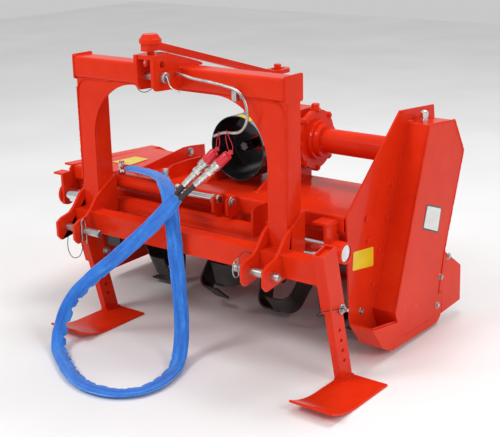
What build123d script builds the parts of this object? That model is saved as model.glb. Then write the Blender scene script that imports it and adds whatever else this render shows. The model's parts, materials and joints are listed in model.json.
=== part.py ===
"""Side-shift rotary tiller for a tractor's three-point linkage, in millimetres.

The carriage is what the tractor holds: portal frame, hitch cheeks, beam, sleeve and skids.
The tiller hangs from a round rail that slides through the sleeve, moved by a hydraulic
cylinder, and holds the gearbox, the hood, the chain case and the rotor.

x runs across the machine to the chain-case side, y rearward and z up. Pieces are drawn from
the hitch: x from its centre plane, y from the axis of its lower pins and z from the ground.
The machine's own origin lies on the ground under the middle of its footprint.
"""
import os
from math import atan2, cos, radians, sin, tan

from build123d import *

os.makedirs("parts", exist_ok=True)

# The hitch's centre plane and lower pin axis, from the machine's own origin
HITCH_X = -23.0
HITCH_Y = -437.74

# Three-point hitch, category 2
LOWER_SPAN = 870.0          # between the middles of the two lower clevises
LOWER_PIN_Z = 390.0
LOWER_PIN_DIA = 28.0
MAST_HEIGHT = 610.0
TOP_PIN_DIA = 25.0
TOP_CLEVIS_GAP = 60.0

# Portal frame
LEG_WIDTH = 76.0
LEG_FRONT = 106.0
LEG_REAR = 186.0
PORTAL_TOP = 1021.0
CROSSBEAM_HEIGHT = 76.0
CROSSBEAM_FRONT = 88.0
CROSSBEAM_REAR = 178.0
CHEEK_THICK = 12.0
LEG_IN = LOWER_SPAN / 2 - LEG_WIDTH / 2
LEG_OUT = LOWER_SPAN / 2 + LEG_WIDTH / 2

# Beam, sleeve and rail
BEAM_HEIGHT = 78.0
BEAM_TOP = 450.0
BEAM_FRONT = 46.0
BEAM_REAR = LEG_FRONT
BEAM_LEFT = -487.0
BEAM_RIGHT = 630.0
BEAM_WALL = 6.0
RAIL_DIA = 60.0
RAIL_Y = 232.0
RAIL_Z = 428.0
SLEEVE_DIA = 76.0
SLEEVE_LEFT = -475.0
SLEEVE_RIGHT = 430.0

# Tiller body
PLATE_THICK = 8.0
RIGHT_PLATE = 590.0         # inner face of the drive side plate
LEFT_PLATE = -700.0         # inner face of the other side plate
HOOD_FRONT = 262.0
HOOD_TOP = 541.0            # at the front; the top falls toward the rear
HOOD_BREAK = 733.0          # where the top turns down to the rear
HOOD_BREAK_Z = 517.0
HOOD_THICK = 5.0
BOARD_HINGE = (911.0, 412.0)
ROTOR_Y = 565.0
ROTOR_Z = 249.0
SWING_RADIUS = 238.0
GEAR_X = 35.0
GEAR_Y = 691.0
GEAR_Z = 677.0

# Skids: the legs lean forward at the top
SKID_LEAN = 14.0
SKID_LEG = (28.0, 64.0)
SOLE_WIDTH = 163.0


def at_x(x):
    """Plane across the machine at x, drawn as (y, z) and extruded to the chain-case side."""
    return Plane(origin=(HITCH_X + x, HITCH_Y, 0), x_dir=(0, 1, 0), z_dir=(1, 0, 0))


def at_y(y):
    """Plane across the travel at y, drawn as (x, z) and extruded toward the tractor."""
    return Plane(origin=(HITCH_X, HITCH_Y + y, 0), x_dir=(1, 0, 0), z_dir=(0, -1, 0))


def at_z(z):
    """Level plane at z, drawn as (x, y) and extruded upward."""
    return Plane(origin=(HITCH_X, HITCH_Y, z), x_dir=(1, 0, 0), z_dir=(0, 0, 1))


def rod(plane, centre, radius, length):
    """Round bar from a plane along its normal, joined to the open part."""
    with BuildSketch(plane) as section:
        with Locations(centre):
            Circle(radius)
    extrude(section.sketch, amount=length)


def bore(plane, centre, radius, length):
    """Round hole from a plane along its normal, cut from the open part."""
    with BuildSketch(plane) as section:
        with Locations(centre):
            Circle(radius)
    extrude(section.sketch, amount=length, mode=Mode.SUBTRACT)


# ---------------------------------------------------------------- carriage: portal frame

# Two legs of square tube, welded to the rear face of the beam
LEG_FOOT = BEAM_TOP - BEAM_HEIGHT
with BuildPart() as portal_legs:
    for side in (-1, 1):
        with BuildSketch(at_z(LEG_FOOT)):
            with Locations((side * LOWER_SPAN / 2, (LEG_FRONT + LEG_REAR) / 2)):
                RectangleRounded(LEG_WIDTH, LEG_REAR - LEG_FRONT, 8)
        extrude(amount=PORTAL_TOP - CROSSBEAM_HEIGHT - LEG_FOOT)
portal_legs.part.label = "portal_legs"
export_step(portal_legs.part, "parts/portal_legs.step")

# Crossbeam tube across both legs
with BuildPart() as crossbeam:
    with BuildSketch(at_x(-LEG_OUT)):
        with Locations(((CROSSBEAM_FRONT + CROSSBEAM_REAR) / 2, PORTAL_TOP - CROSSBEAM_HEIGHT / 2)):
            RectangleRounded(CROSSBEAM_REAR - CROSSBEAM_FRONT, CROSSBEAM_HEIGHT, 12)
    extrude(amount=2 * LEG_OUT)
crossbeam.part.label = "crossbeam"
export_step(crossbeam.part, "parts/crossbeam.step")

# Plates over both mouths of the crossbeam, as deep as the legs
HEAD_THICK = 8.0
HEAD_LAP = 8.0
with BuildPart() as portal_end_plates:
    for x in (-LEG_OUT - HEAD_THICK, LEG_OUT):
        with BuildSketch(at_x(x)):
            with Locations(((CROSSBEAM_FRONT + LEG_REAR) / 2, PORTAL_TOP - CROSSBEAM_HEIGHT / 2)):
                RectangleRounded(LEG_REAR - CROSSBEAM_FRONT, CROSSBEAM_HEIGHT + 2 * HEAD_LAP, 8)
        extrude(amount=HEAD_THICK)
portal_end_plates.part.label = "portal_end_plates"
export_step(portal_end_plates.part, "parts/portal_end_plates.step")

# Front plate of the portal: its inner edge is an arch that stiffens both corners
ARCH_THICK = 8.0
ARCH_RADIUS = 215.0
ARCH_CROWN = PORTAL_TOP - CROSSBEAM_HEIGHT - 5
ARCH_FOOT = BEAM_TOP
with BuildPart() as portal_plate:
    with BuildSketch(at_y(LEG_FRONT)):
        with Locations((0, (ARCH_FOOT + PORTAL_TOP - CROSSBEAM_HEIGHT) / 2)):
            Rectangle(2 * LEG_OUT, PORTAL_TOP - CROSSBEAM_HEIGHT - ARCH_FOOT)
        with BuildLine():
            Polyline((-LEG_IN, ARCH_FOOT), (-LEG_IN, ARCH_CROWN - ARCH_RADIUS))
            RadiusArc((-LEG_IN, ARCH_CROWN - ARCH_RADIUS), (-LEG_IN + ARCH_RADIUS, ARCH_CROWN),
                      ARCH_RADIUS)
            Line((-LEG_IN + ARCH_RADIUS, ARCH_CROWN), (LEG_IN - ARCH_RADIUS, ARCH_CROWN))
            RadiusArc((LEG_IN - ARCH_RADIUS, ARCH_CROWN), (LEG_IN, ARCH_CROWN - ARCH_RADIUS),
                      ARCH_RADIUS)
            Polyline((LEG_IN, ARCH_CROWN - ARCH_RADIUS), (LEG_IN, ARCH_FOOT), (-LEG_IN, ARCH_FOOT))
        make_face(mode=Mode.SUBTRACT)
    extrude(amount=ARCH_THICK)
portal_plate.part.label = "portal_plate"
export_step(portal_plate.part, "parts/portal_plate.step")

# Top-link clevis: two plates seated over the crossbeam, joined by a bridge above the holes
BRACKET_THICK = 14.0
TOP_PIN_Z = LOWER_PIN_Z + MAST_HEIGHT
UPPER_HOLE_Z = 1043.0
CLEVIS_TOP = 1076.0
with BuildPart() as top_link_bracket:
    for x in (-TOP_CLEVIS_GAP / 2 - BRACKET_THICK, TOP_CLEVIS_GAP / 2):
        with BuildSketch(at_x(x)):
            Polygon((-30, 958), (CROSSBEAM_FRONT, 952), (CROSSBEAM_FRONT, PORTAL_TOP),
                    (204, PORTAL_TOP), (200, 1027), (142, 1046), (60, 1070), (40, CLEVIS_TOP),
                    (-46, CLEVIS_TOP), (-46, 976))
            with Locations((0, TOP_PIN_Z), (0, UPPER_HOLE_Z)):
                Circle(TOP_PIN_DIA / 2 + 0.05, mode=Mode.SUBTRACT)
        extrude(amount=BRACKET_THICK)
    with BuildSketch(at_x(-TOP_CLEVIS_GAP / 2)):
        with Locations((5, CLEVIS_TOP - 7)):
            Rectangle(90, 14)
    extrude(amount=TOP_CLEVIS_GAP)
top_link_bracket.part.label = "top_link_bracket"
export_step(top_link_bracket.part, "parts/top_link_bracket.step")

# Top-link pin with its head and bent lifting handle
with BuildPart() as top_link_pin:
    rod(at_x(-62), (0, TOP_PIN_Z), TOP_PIN_DIA / 2, 124)
    rod(at_x(TOP_CLEVIS_GAP / 2 + BRACKET_THICK), (0, TOP_PIN_Z), 19, 16)
top_link_pin.part.label = "top_link_pin"
export_step(top_link_pin.part, "parts/top_link_pin.step")

# ---------------------------------------------------------------- carriage: lower hitch

# Four cheeks, one on each face of each leg, notched over the beam
BEAM_MIDDLE = ((BEAM_FRONT + BEAM_REAR) / 2, BEAM_TOP - BEAM_HEIGHT / 2)
CHEEK_OUTLINE = [(-46, 362), (-46, 416), (-24, 430), (19, 440), (43, 460), (75, 500), (110, 524),
                 (166, 564), (188, 566), (188, 430), (150, 390), (80, 360), (-30, 344)]
with BuildPart() as hitch_cheeks:
    for x in (-LEG_OUT - CHEEK_THICK, -LEG_IN, LEG_IN - CHEEK_THICK, LEG_OUT):
        with BuildSketch(at_x(x)):
            Polygon(*CHEEK_OUTLINE)
            with Locations((0, LOWER_PIN_Z)):
                Circle(LOWER_PIN_DIA / 2 + 0.05, mode=Mode.SUBTRACT)
            with Locations(BEAM_MIDDLE):
                Rectangle(BEAM_REAR - BEAM_FRONT, BEAM_HEIGHT, mode=Mode.SUBTRACT)
        extrude(amount=CHEEK_THICK)
hitch_cheeks.part.label = "hitch_cheeks"
export_step(hitch_cheeks.part, "parts/hitch_cheeks.step")

# Two lower pins through the cheeks, longer on the side where the ring is
with BuildPart() as lower_hitch_pins:
    for start, end in ((-LEG_OUT - 26, -LEG_IN + 96), (LEG_IN - 66, LEG_OUT + 40)):
        rod(at_x(start), (0, LOWER_PIN_Z), LOWER_PIN_DIA / 2, end - start)
lower_hitch_pins.part.label = "lower_hitch_pins"
export_step(lower_hitch_pins.part, "parts/lower_hitch_pins.step")

# Tube beam that carries the legs, the cheeks and the skid sockets, capped at its free end
with BuildPart() as lower_beam:
    with BuildSketch(at_x(BEAM_LEFT)):
        with Locations(BEAM_MIDDLE):
            Rectangle(BEAM_REAR - BEAM_FRONT, BEAM_HEIGHT)
            Rectangle(BEAM_REAR - BEAM_FRONT - 2 * BEAM_WALL, BEAM_HEIGHT - 2 * BEAM_WALL,
                      mode=Mode.SUBTRACT)
    extrude(amount=BEAM_RIGHT - BEAM_LEFT)
    with BuildSketch(at_x(BEAM_LEFT)):
        with Locations(BEAM_MIDDLE):
            Rectangle(BEAM_REAR - BEAM_FRONT, BEAM_HEIGHT)
    extrude(amount=BEAM_WALL)
lower_beam.part.label = "lower_beam"
export_step(lower_beam.part, "parts/lower_beam.step")

# Sleeve that the rail slides through, on a saddle behind each leg, and its stop plate
SADDLE = (20.0, 44.0)
STOP_X = 285.0
with BuildPart() as rail_sleeve:
    rod(at_x(SLEEVE_LEFT), (RAIL_Y, RAIL_Z), SLEEVE_DIA / 2, SLEEVE_RIGHT - SLEEVE_LEFT)
    for x in (-LEG_OUT, LEG_IN):
        with BuildSketch(at_x(x)):
            with Locations((LEG_REAR + SADDLE[0] / 2, RAIL_Z)):
                Rectangle(*SADDLE)
        extrude(amount=min(LEG_WIDTH, SLEEVE_RIGHT - x))
    with BuildSketch(at_x(STOP_X)):
        Polygon((152, 446), (152, 538), (165, 551), (246, 551), (250, 440), (232, RAIL_Z), (200, 440))
    extrude(amount=8)
    bore(at_x(SLEEVE_LEFT), (RAIL_Y, RAIL_Z), RAIL_DIA / 2 + 0.08, SLEEVE_RIGHT - SLEEVE_LEFT)
rail_sleeve.part.label = "rail_sleeve"
export_step(rail_sleeve.part, "parts/rail_sleeve.step")

# ---------------------------------------------------------------- skids

# Each skid leg slides in a leaning socket and is pinned through one of its holes
SKIDS = {"right": (BEAM_RIGHT, 98.0), "left": (-470.0, 98.0)}   # left face of socket, y at LEAN_Z
LEAN_Z = 310.0
SOCKET_WALL = 6.0
SOCKET_GAP = 1.0
SOCKET_SPANS = {"right": (278.0, 500.0), "left": (238.0, 400.0)}
LEG_TOPS = {"right": 488.0, "left": 330.0}


def leaning(x, y):
    """Plane across the skid leg's axis at LEAN_Z above the ground, normal up the leg."""
    lean = radians(SKID_LEAN)
    return Plane(origin=(HITCH_X + x, HITCH_Y + y, LEAN_Z), x_dir=(1, 0, 0),
                 z_dir=(0, -sin(lean), cos(lean)))


leg_wide, leg_deep = SKID_LEG
socket_wide = leg_wide + 2 * (SOCKET_GAP + SOCKET_WALL)
socket_deep = leg_deep + 2 * (SOCKET_GAP + SOCKET_WALL)
with BuildPart() as skid_sockets:
    for side, (x, y) in SKIDS.items():
        low, high = SOCKET_SPANS[side]
        middle = leaning(x + socket_wide / 2, y)
        with BuildSketch(middle.offset(low - LEAN_Z)):
            Rectangle(socket_wide, socket_deep)
            Rectangle(leg_wide + 2 * SOCKET_GAP, leg_deep + 2 * SOCKET_GAP, mode=Mode.SUBTRACT)
        extrude(amount=high - low)
    with BuildSketch(at_z(LEG_FOOT)):
        with Locations((SKIDS["left"][0], SKIDS["left"][1])):
            Rectangle(200, 300)
    extrude(amount=100, mode=Mode.SUBTRACT)
skid_sockets.part.label = "skid_sockets"
export_step(skid_sockets.part, "parts/skid_sockets.step")

# Sole with an upturned nose, and the leg standing at its rear corner
SOLE_THICK = 8.0
NOSE_RADIUS = 330.0
NOSE_TURN = 27.0
LEG_HOLES = {"right": (80.0, 120.0, 160.0, 200.0), "left": (80.0, 120.0, 160.0)}
LEG_HOLE_DIA = 13.0
for side, (x, y) in SKIDS.items():
    foot_y = y + LEAN_Z * tan(radians(SKID_LEAN))
    rear = foot_y + leg_deep / 2 + 4
    flat = rear - 190
    with BuildPart() as skid:
        with BuildSketch(leaning(x + socket_wide / 2, y).offset(-LEAN_Z - 20)):
            Rectangle(leg_wide, leg_deep)
        extrude(amount=LEG_TOPS[side] + 20)
        with BuildSketch(at_z(0)):
            with Locations((x + socket_wide / 2, foot_y)):
                Rectangle(400, 800)
        extrude(amount=-60, mode=Mode.SUBTRACT)
        nose = radians(NOSE_TURN)
        with BuildSketch(at_x(x + socket_wide / 2 - leg_wide / 2)):
            with BuildLine():
                top_arc = NOSE_RADIUS - SOLE_THICK
                nose_low = (flat - NOSE_RADIUS * sin(nose), NOSE_RADIUS * (1 - cos(nose)))
                nose_high = (flat - top_arc * sin(nose), NOSE_RADIUS - top_arc * cos(nose))
                Polyline((flat, 0), (rear, 0), (rear, SOLE_THICK), (flat, SOLE_THICK))
                RadiusArc((flat, 0), nose_low, NOSE_RADIUS)
                Line(nose_low, nose_high)
                RadiusArc((flat, SOLE_THICK), nose_high, top_arc)
            make_face()
        extrude(amount=SOLE_WIDTH)
        for height in LEG_HOLES[side]:
            hole_y = y + (LEAN_Z - height) * tan(radians(SKID_LEAN))
            bore(at_x(x), (hole_y, height), LEG_HOLE_DIA / 2, socket_wide)
    skid.part.label = "skid_" + side
    export_step(skid.part, "parts/skid_" + side + ".step")

# ---------------------------------------------------------------- side-shift cylinder

CYLINDER_Y = 225.0
CYLINDER_Z = 532.0
BARREL_DIA = 52.0
BARREL_SPAN = (-425.0, -94.0)
ROD_DIA = 25.0
ROD_START = -200.0
ROD_END = 92.0
CLEVIS_PLATES = (70.0, 134.0)
with BuildPart() as cylinder_barrel:
    rod(at_x(BARREL_SPAN[0]), (CYLINDER_Y, CYLINDER_Z), BARREL_DIA / 2,
        BARREL_SPAN[1] - BARREL_SPAN[0])
    with BuildSketch(at_x(BARREL_SPAN[0] - 16)):
        Polygon((LEG_REAR, 496), (LEG_REAR, 566), (238, 562), (252, 546), (252, 516), (238, 502))
    extrude(amount=16)
    bore(at_x(BARREL_SPAN[0] + 30), (CYLINDER_Y, CYLINDER_Z), ROD_DIA / 2 + 0.06,
         BARREL_SPAN[1] - BARREL_SPAN[0])
cylinder_barrel.part.label = "cylinder_barrel"
export_step(cylinder_barrel.part, "parts/cylinder_barrel.step")

with BuildPart() as cylinder_rod:
    rod(at_x(ROD_START), (CYLINDER_Y, CYLINDER_Z), ROD_DIA / 2, ROD_END - ROD_START)
cylinder_rod.part.label = "cylinder_rod"
export_step(cylinder_rod.part, "parts/cylinder_rod.step")

# Two ports on the barrel; the one behind the leg turns its nipple along the barrel
PORTS = {"rod_end": -172.0, "head_end": -398.0}
PORT_Y = 231.0
HOSE_START = (-372.0, 230.0, 584.0)
with BuildPart() as port_fittings:
    for x in PORTS.values():
        rod(at_z(CYLINDER_Z + 10), (x, PORT_Y), 14, 24)
        rod(at_z(CYLINDER_Z + 10), (x, PORT_Y), 10, 64)
    rod(at_x(PORTS["head_end"]), (HOSE_START[1], HOSE_START[2]), 9,
        HOSE_START[0] - PORTS["head_end"])
    bore(at_x(BARREL_SPAN[0]), (CYLINDER_Y, CYLINDER_Z), BARREL_DIA / 2,
         BARREL_SPAN[1] - BARREL_SPAN[0])
port_fittings.part.label = "port_fittings"
export_step(port_fittings.part, "parts/port_fittings.step")

# Clevis on the hood's front that takes the rod's eye
with BuildPart() as rod_clevis:
    for x in CLEVIS_PLATES:
        with BuildSketch(at_x(x)):
            Polygon((200, 486), (200, 545), (HOOD_FRONT, 545), (HOOD_FRONT, 474), (222, 474))
            if x == CLEVIS_PLATES[0]:
                with Locations((CYLINDER_Y, CYLINDER_Z)):
                    Circle(ROD_DIA / 2 + 0.05, mode=Mode.SUBTRACT)
        extrude(amount=10)
rod_clevis.part.label = "rod_clevis"
export_step(rod_clevis.part, "parts/rod_clevis.step")

# ---------------------------------------------------------------- tiller body

# Hood: one bent sheet from the front wall over the top and down to the board's hinge
with BuildPart() as hood:
    with BuildSketch(at_x(LEFT_PLATE)):
        with BuildLine():
            FilletPolyline((HOOD_FRONT + 20, 400), (HOOD_FRONT + 20, 470), (HOOD_FRONT, 488),
                           (HOOD_FRONT, HOOD_TOP), (HOOD_BREAK, HOOD_BREAK_Z),
                           (BOARD_HINGE[0] - 22, BOARD_HINGE[1] + 4), radius=10)
            offset(amount=HOOD_THICK, side=Side.RIGHT, closed=True)
        make_face()
    extrude(amount=RIGHT_PLATE - LEFT_PLATE)
hood.part.label = "hood"
export_step(hood.part, "parts/hood.step")

# Side plate on the drive side: the chain case is bolted to it, and it fills down to the shoe
with BuildPart() as side_plate_right:
    with BuildSketch(at_x(RIGHT_PLATE)):
        Polygon((298, 167), (268, 540), (617, 843), (867, 824), (935, 431), (931, 392), (857, 317),
                (788, 131), (784, 46), (764, 24), (426, 32), (374, 58), (304, 148))
        with Locations((ROTOR_Y, ROTOR_Z)):
            Circle(24, mode=Mode.SUBTRACT)
    extrude(amount=PLATE_THICK)
side_plate_right.part.label = "side_plate_right"
export_step(side_plate_right.part, "parts/side_plate_right.step")

# The other side plate has a flange turned outward along its top
FLANGE_WIDE = 40.0
with BuildPart() as side_plate_left:
    with BuildSketch(at_x(LEFT_PLATE - PLATE_THICK)):
        Polygon((300, 165), (243, 500), (243, 530), (258, 545), (780, 514), (930, 432), (931, 392),
                (857, 307), (753, 40), (440, 37))
        with Locations((ROTOR_Y, ROTOR_Z)):
            Circle(24, mode=Mode.SUBTRACT)
        with Locations((RAIL_Y, RAIL_Z)):
            Circle(RAIL_DIA / 2, mode=Mode.SUBTRACT)
    extrude(amount=PLATE_THICK)
    with BuildSketch(at_x(LEFT_PLATE - PLATE_THICK - FLANGE_WIDE)):
        Polygon((258, 545), (780, 514), (780, 506), (258, 537))
    extrude(amount=FLANGE_WIDE)
side_plate_left.part.label = "side_plate_left"
export_step(side_plate_left.part, "parts/side_plate_left.step")

# Chain case: a closed box leaning back
CASE_DEPTH = 95.0
CASE_OUTER = RIGHT_PLATE + PLATE_THICK + CASE_DEPTH
CASE_OUTLINE = [(445, 158), (657, 795), (849, 779), (931, 650), (806, 289), (753, 48), (495, 48)]
with BuildPart() as drive_case:
    with BuildSketch(at_x(RIGHT_PLATE + PLATE_THICK)):
        Polygon(*CASE_OUTLINE)
    extrude(amount=CASE_DEPTH)
    bore(at_x(RIGHT_PLATE + PLATE_THICK), (ROTOR_Y, ROTOR_Z), 20.05, 45)
drive_case.part.label = "drive_case"
export_step(drive_case.part, "parts/drive_case.step")

# Shoe wrapped round the case's foot: a bent sheet and a wall flush with the case's outer
# face, which together make a scoop, open at the top, ahead of the case
SHOE_SHEET = 8.0
SHOE_PATH = [(292, 144), (366, 50), (423, 22), (768, 12), (796, 34), (800, 128)]
SHOE_RADII = [90, 90, 25, 25]
with BuildPart() as guard_shoe:
    with BuildSketch(at_x(RIGHT_PLATE + PLATE_THICK)):
        with BuildLine():
            FilletPolyline(*SHOE_PATH, radius=SHOE_RADII)
            offset(amount=SHOE_SHEET, side=Side.LEFT, closed=True)
        make_face()
    extrude(amount=CASE_DEPTH)
    with BuildSketch(at_x(CASE_OUTER - SHOE_SHEET)):
        with BuildLine():
            FilletPolyline(*SHOE_PATH, radius=SHOE_RADII)
            Polyline(SHOE_PATH[-1], (600, 128), (464, 117), SHOE_PATH[0])
        make_face()
        Polygon(*CASE_OUTLINE, mode=Mode.SUBTRACT)
    extrude(amount=SHOE_SHEET)
guard_shoe.part.label = "guard_shoe"
export_step(guard_shoe.part, "parts/guard_shoe.step")

# Wing behind the case, in the plane of its outer face
WING_THICK = 8.0
with BuildPart() as rear_wing:
    with BuildSketch(at_x(CASE_OUTER - WING_THICK)):
        Polygon((806, 289), (950, 190), (956, 44), (801, 38), (801, 130), (771, 130))
    extrude(amount=WING_THICK)
    with BuildSketch(at_x(CASE_OUTER - WING_THICK)):
        Polygon(*CASE_OUTLINE)
    extrude(amount=WING_THICK, mode=Mode.SUBTRACT)
rear_wing.part.label = "rear_wing"
export_step(rear_wing.part, "parts/rear_wing.step")

# Bearing hub of the rotor on the left side plate
with BuildPart() as bearing_hub:
    rod(at_x(LEFT_PLATE - PLATE_THICK - 46), (ROTOR_Y, ROTOR_Z), 55, 46)
    bore(at_x(LEFT_PLATE - PLATE_THICK - 34), (ROTOR_Y, ROTOR_Z), 20.05, 40)
bearing_hub.part.label = "bearing_hub"
export_step(bearing_hub.part, "parts/bearing_hub.step")

# ---------------------------------------------------------------- gearbox and drive

# Bearers: two plates from the hood up to the gearbox flanks
GEAR_HALF = 114.0
GEAR_NECK_DIA = 176.0
BEARER_THICK = 10.0
BEARER_FRONT = 350.0
BEARER_REAR = 712.0


def hood_top(y):
    """Height of the hood's top at y."""
    return HOOD_TOP + (HOOD_BREAK_Z - HOOD_TOP) * (y - HOOD_FRONT) / (HOOD_BREAK - HOOD_FRONT)


with BuildPart() as gearbox_bearers:
    for x in (GEAR_X - GEAR_HALF - BEARER_THICK, GEAR_X + GEAR_HALF):
        with BuildSketch(at_x(x)):
            Polygon((BEARER_FRONT, hood_top(BEARER_FRONT)), (546, 627), (BEARER_REAR, 627),
                    (BEARER_REAR, hood_top(BEARER_REAR)))
            with Locations((GEAR_Y, GEAR_Z)):
                Circle(GEAR_NECK_DIA / 2, mode=Mode.SUBTRACT)
        extrude(amount=BEARER_THICK)
gearbox_bearers.part.label = "gearbox_bearers"
export_step(gearbox_bearers.part, "parts/gearbox_bearers.step")

# Steps of the output side as (distance from the gearbox's middle, radius, length), the second
# of them a flange with lugs for its bolts
OUTPUT_STEPS = [(GEAR_HALF, GEAR_NECK_DIA / 2, 40), (144, 114, 22), (166, 78, 20), (186, 66, 22)]
OUTPUT_END = GEAR_X + 208
LUG_COUNT = 8
LUG_CIRCLE = 112.0
LUG_RADIUS = 14.0
SHIELD_BACK = GEAR_Y - 155
SHIELD_FRONT = 401.0
SHIELD_DIA = 244.0
STUB_DIA = 34.9
SHOULDER_DIA = 42.0
STUB_LENGTH = 82.0
with BuildPart() as gearbox:
    with BuildSketch(at_x(GEAR_X - GEAR_HALF)):
        with Locations((GEAR_Y, GEAR_Z)):
            RectangleRounded(2 * GEAR_HALF, 2 * GEAR_HALF, 62)
    extrude(amount=2 * GEAR_HALF)
    for start, radius, length in OUTPUT_STEPS:
        rod(at_x(GEAR_X + start), (GEAR_Y, GEAR_Z), radius, length)
    with BuildSketch(at_x(GEAR_X + OUTPUT_STEPS[1][0])):
        with Locations((GEAR_Y, GEAR_Z)):
            with PolarLocations(LUG_CIRCLE, LUG_COUNT):
                Circle(LUG_RADIUS)
    extrude(amount=OUTPUT_STEPS[1][2])
    rod(at_y(GEAR_Y - GEAR_HALF + 10), (GEAR_X, GEAR_Z), 64, GEAR_Y - GEAR_HALF + 10 - SHIELD_BACK)
    bore(at_y(GEAR_Y - 60), (GEAR_X, GEAR_Z), SHOULDER_DIA / 2 + 0.06, 200)
gearbox.part.label = "gearbox"
export_step(gearbox.part, "parts/gearbox.step")

AXLE_TUBE_DIA = 94.0
with BuildPart() as axle_tube:
    rod(at_x(OUTPUT_END), (GEAR_Y, GEAR_Z), AXLE_TUBE_DIA / 2, RIGHT_PLATE - OUTPUT_END)
axle_tube.part.label = "axle_tube"
export_step(axle_tube.part, "parts/axle_tube.step")

# Power take-off shield: a cup round the stub shaft, open toward the tractor
with BuildPart() as pto_shield:
    rod(at_y(SHIELD_BACK), (GEAR_X, GEAR_Z), SHIELD_DIA / 2, SHIELD_BACK - SHIELD_FRONT)
    bore(at_y(SHIELD_BACK - 4), (GEAR_X, GEAR_Z), SHIELD_DIA / 2 - 4, 200)
    bore(at_y(SHIELD_BACK + 20), (GEAR_X, GEAR_Z), 31, 100)
pto_shield.part.label = "pto_shield"
export_step(pto_shield.part, "parts/pto_shield.step")

# Stub shaft that the tractor's drive shaft slips over, as far as its shoulder
STUB_FRONT = SHIELD_FRONT + 42
with BuildPart() as pto_stub:
    rod(at_y(GEAR_Y - 64), (GEAR_X, GEAR_Z), SHOULDER_DIA / 2,
        GEAR_Y - 64 - STUB_FRONT - STUB_LENGTH)
    rod(at_y(STUB_FRONT + STUB_LENGTH), (GEAR_X, GEAR_Z), STUB_DIA / 2, STUB_LENGTH)
pto_stub.part.label = "pto_stub"
export_step(pto_stub.part, "parts/pto_stub.step")

# ---------------------------------------------------------------- rail and its brackets

RAIL_LEFT = -718.0
RAIL_RIGHT = 618.0
with BuildPart() as slide_rail:
    rod(at_x(RAIL_LEFT), (RAIL_Y, RAIL_Z), RAIL_DIA / 2, RAIL_RIGHT - RAIL_LEFT)
slide_rail.part.label = "slide_rail"
export_step(slide_rail.part, "parts/slide_rail.step")

# Each bracket is a plate on the hood's corner with a lid, and a ring round the rail's end
BRACKET_FRONT = 196.0
BRACKET_FOOT = 392.0
LID_THICK = 8.0
BRACKETS = {
    "left": dict(plate=LEFT_PLATE - PLATE_THICK, lid=(-748, -696), top=512,
                 rear=((243, 512), (243, 500), (261, BRACKET_FOOT)), ring=(RAIL_LEFT, 10, 46)),
    "right": dict(plate=554, lid=(507, 566), top=521,
                  rear=((HOOD_FRONT, 521), (HOOD_FRONT, 496), (258, 488), (272, 474),
                        (272, BRACKET_FOOT)), ring=(566, 56, 38)),
}
for side, size in BRACKETS.items():
    with BuildPart() as bracket:
        with BuildSketch(at_x(size["plate"])):
            Polygon((BRACKET_FRONT, BRACKET_FOOT), (BRACKET_FRONT, size["top"]), *size["rear"])
        extrude(amount=12)
        lid_rear = size["rear"][0][0]
        with BuildSketch(at_x(size["lid"][0])):
            with Locations(((BRACKET_FRONT + lid_rear) / 2, size["top"] + LID_THICK / 2)):
                Rectangle(lid_rear - BRACKET_FRONT, LID_THICK)
        extrude(amount=size["lid"][1] - size["lid"][0])
        ring_x, ring_long, ring_radius = size["ring"]
        rod(at_x(ring_x), (RAIL_Y, RAIL_Z), ring_radius, ring_long)
        bore(at_x(RAIL_LEFT - 10), (RAIL_Y, RAIL_Z), RAIL_DIA / 2, RAIL_RIGHT - RAIL_LEFT + 40)
    bracket.part.label = "rail_bracket_" + side
    export_step(bracket.part, "parts/rail_bracket_" + side + ".step")

# ---------------------------------------------------------------- rotor

SHAFT_DIA = 70.0
FLANGE_DIA = 176.0
FLANGE_THICK = 10.0
SHAFT_GAP = 8.0
FLANGE_X = [-640.0, -406.0, -172.0, 62.0, 296.0, 530.0]
with BuildPart() as rotor_shaft:
    start = LEFT_PLATE + SHAFT_GAP
    rod(at_x(start), (ROTOR_Y, ROTOR_Z), SHAFT_DIA / 2, RIGHT_PLATE - SHAFT_GAP - start)
    rod(at_x(LEFT_PLATE - PLATE_THICK - 30), (ROTOR_Y, ROTOR_Z), 20, 60)
    rod(at_x(RIGHT_PLATE - 20), (ROTOR_Y, ROTOR_Z), 20, 20 + PLATE_THICK + 40)
    for x in FLANGE_X:
        rod(at_x(x - FLANGE_THICK / 2), (ROTOR_Y, ROTOR_Z), FLANGE_DIA / 2, FLANGE_THICK)
rotor_shaft.part.label = "rotor_shaft"
export_step(rotor_shaft.part, "parts/rotor_shaft.step")

# Blades: flat shank on the flange's face, bent across at the tip
BLADE_THICK = 8.0
BLADE_WIDE = 95.0
BLADE_REACH = 104.0
BEND_RADIUS = 46.0
BLADE_OUTER = (SWING_RADIUS ** 2 - (BLADE_WIDE / 2) ** 2) ** 0.5
END_HAND = {0: -1, len(FLANGE_X) - 1: 1}     # no blades on the outer faces of the end flanges
with BuildPart() as rotor_blades:
    for row, x in enumerate(FLANGE_X):
        for step in range(6):
            turn = radians(row * 25 + step * 60)
            hand = 1 if step % 2 else -1
            if hand == END_HAND.get(row):
                continue
            out = Vector(0, cos(turn), sin(turn))
            across = Vector(hand, 0, 0)
            origin = Vector(HITCH_X + x + hand * FLANGE_THICK / 2, HITCH_Y + ROTOR_Y, ROTOR_Z)
            blade_plane = Plane(origin=origin + out.cross(across) * (-BLADE_WIDE / 2), x_dir=out,
                                z_dir=out.cross(across))
            with BuildSketch(blade_plane):
                with BuildLine():
                    FilletPolyline((42, 0), (BLADE_OUTER, 0), (BLADE_OUTER, BLADE_REACH),
                                   radius=BEND_RADIUS)
                    offset(amount=BLADE_THICK, side=Side.LEFT, closed=True)
                make_face()
            extrude(amount=BLADE_WIDE)
rotor_blades.part.label = "rotor_blades"
export_step(rotor_blades.part, "parts/rotor_blades.step")

# ---------------------------------------------------------------- levelling board

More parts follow.
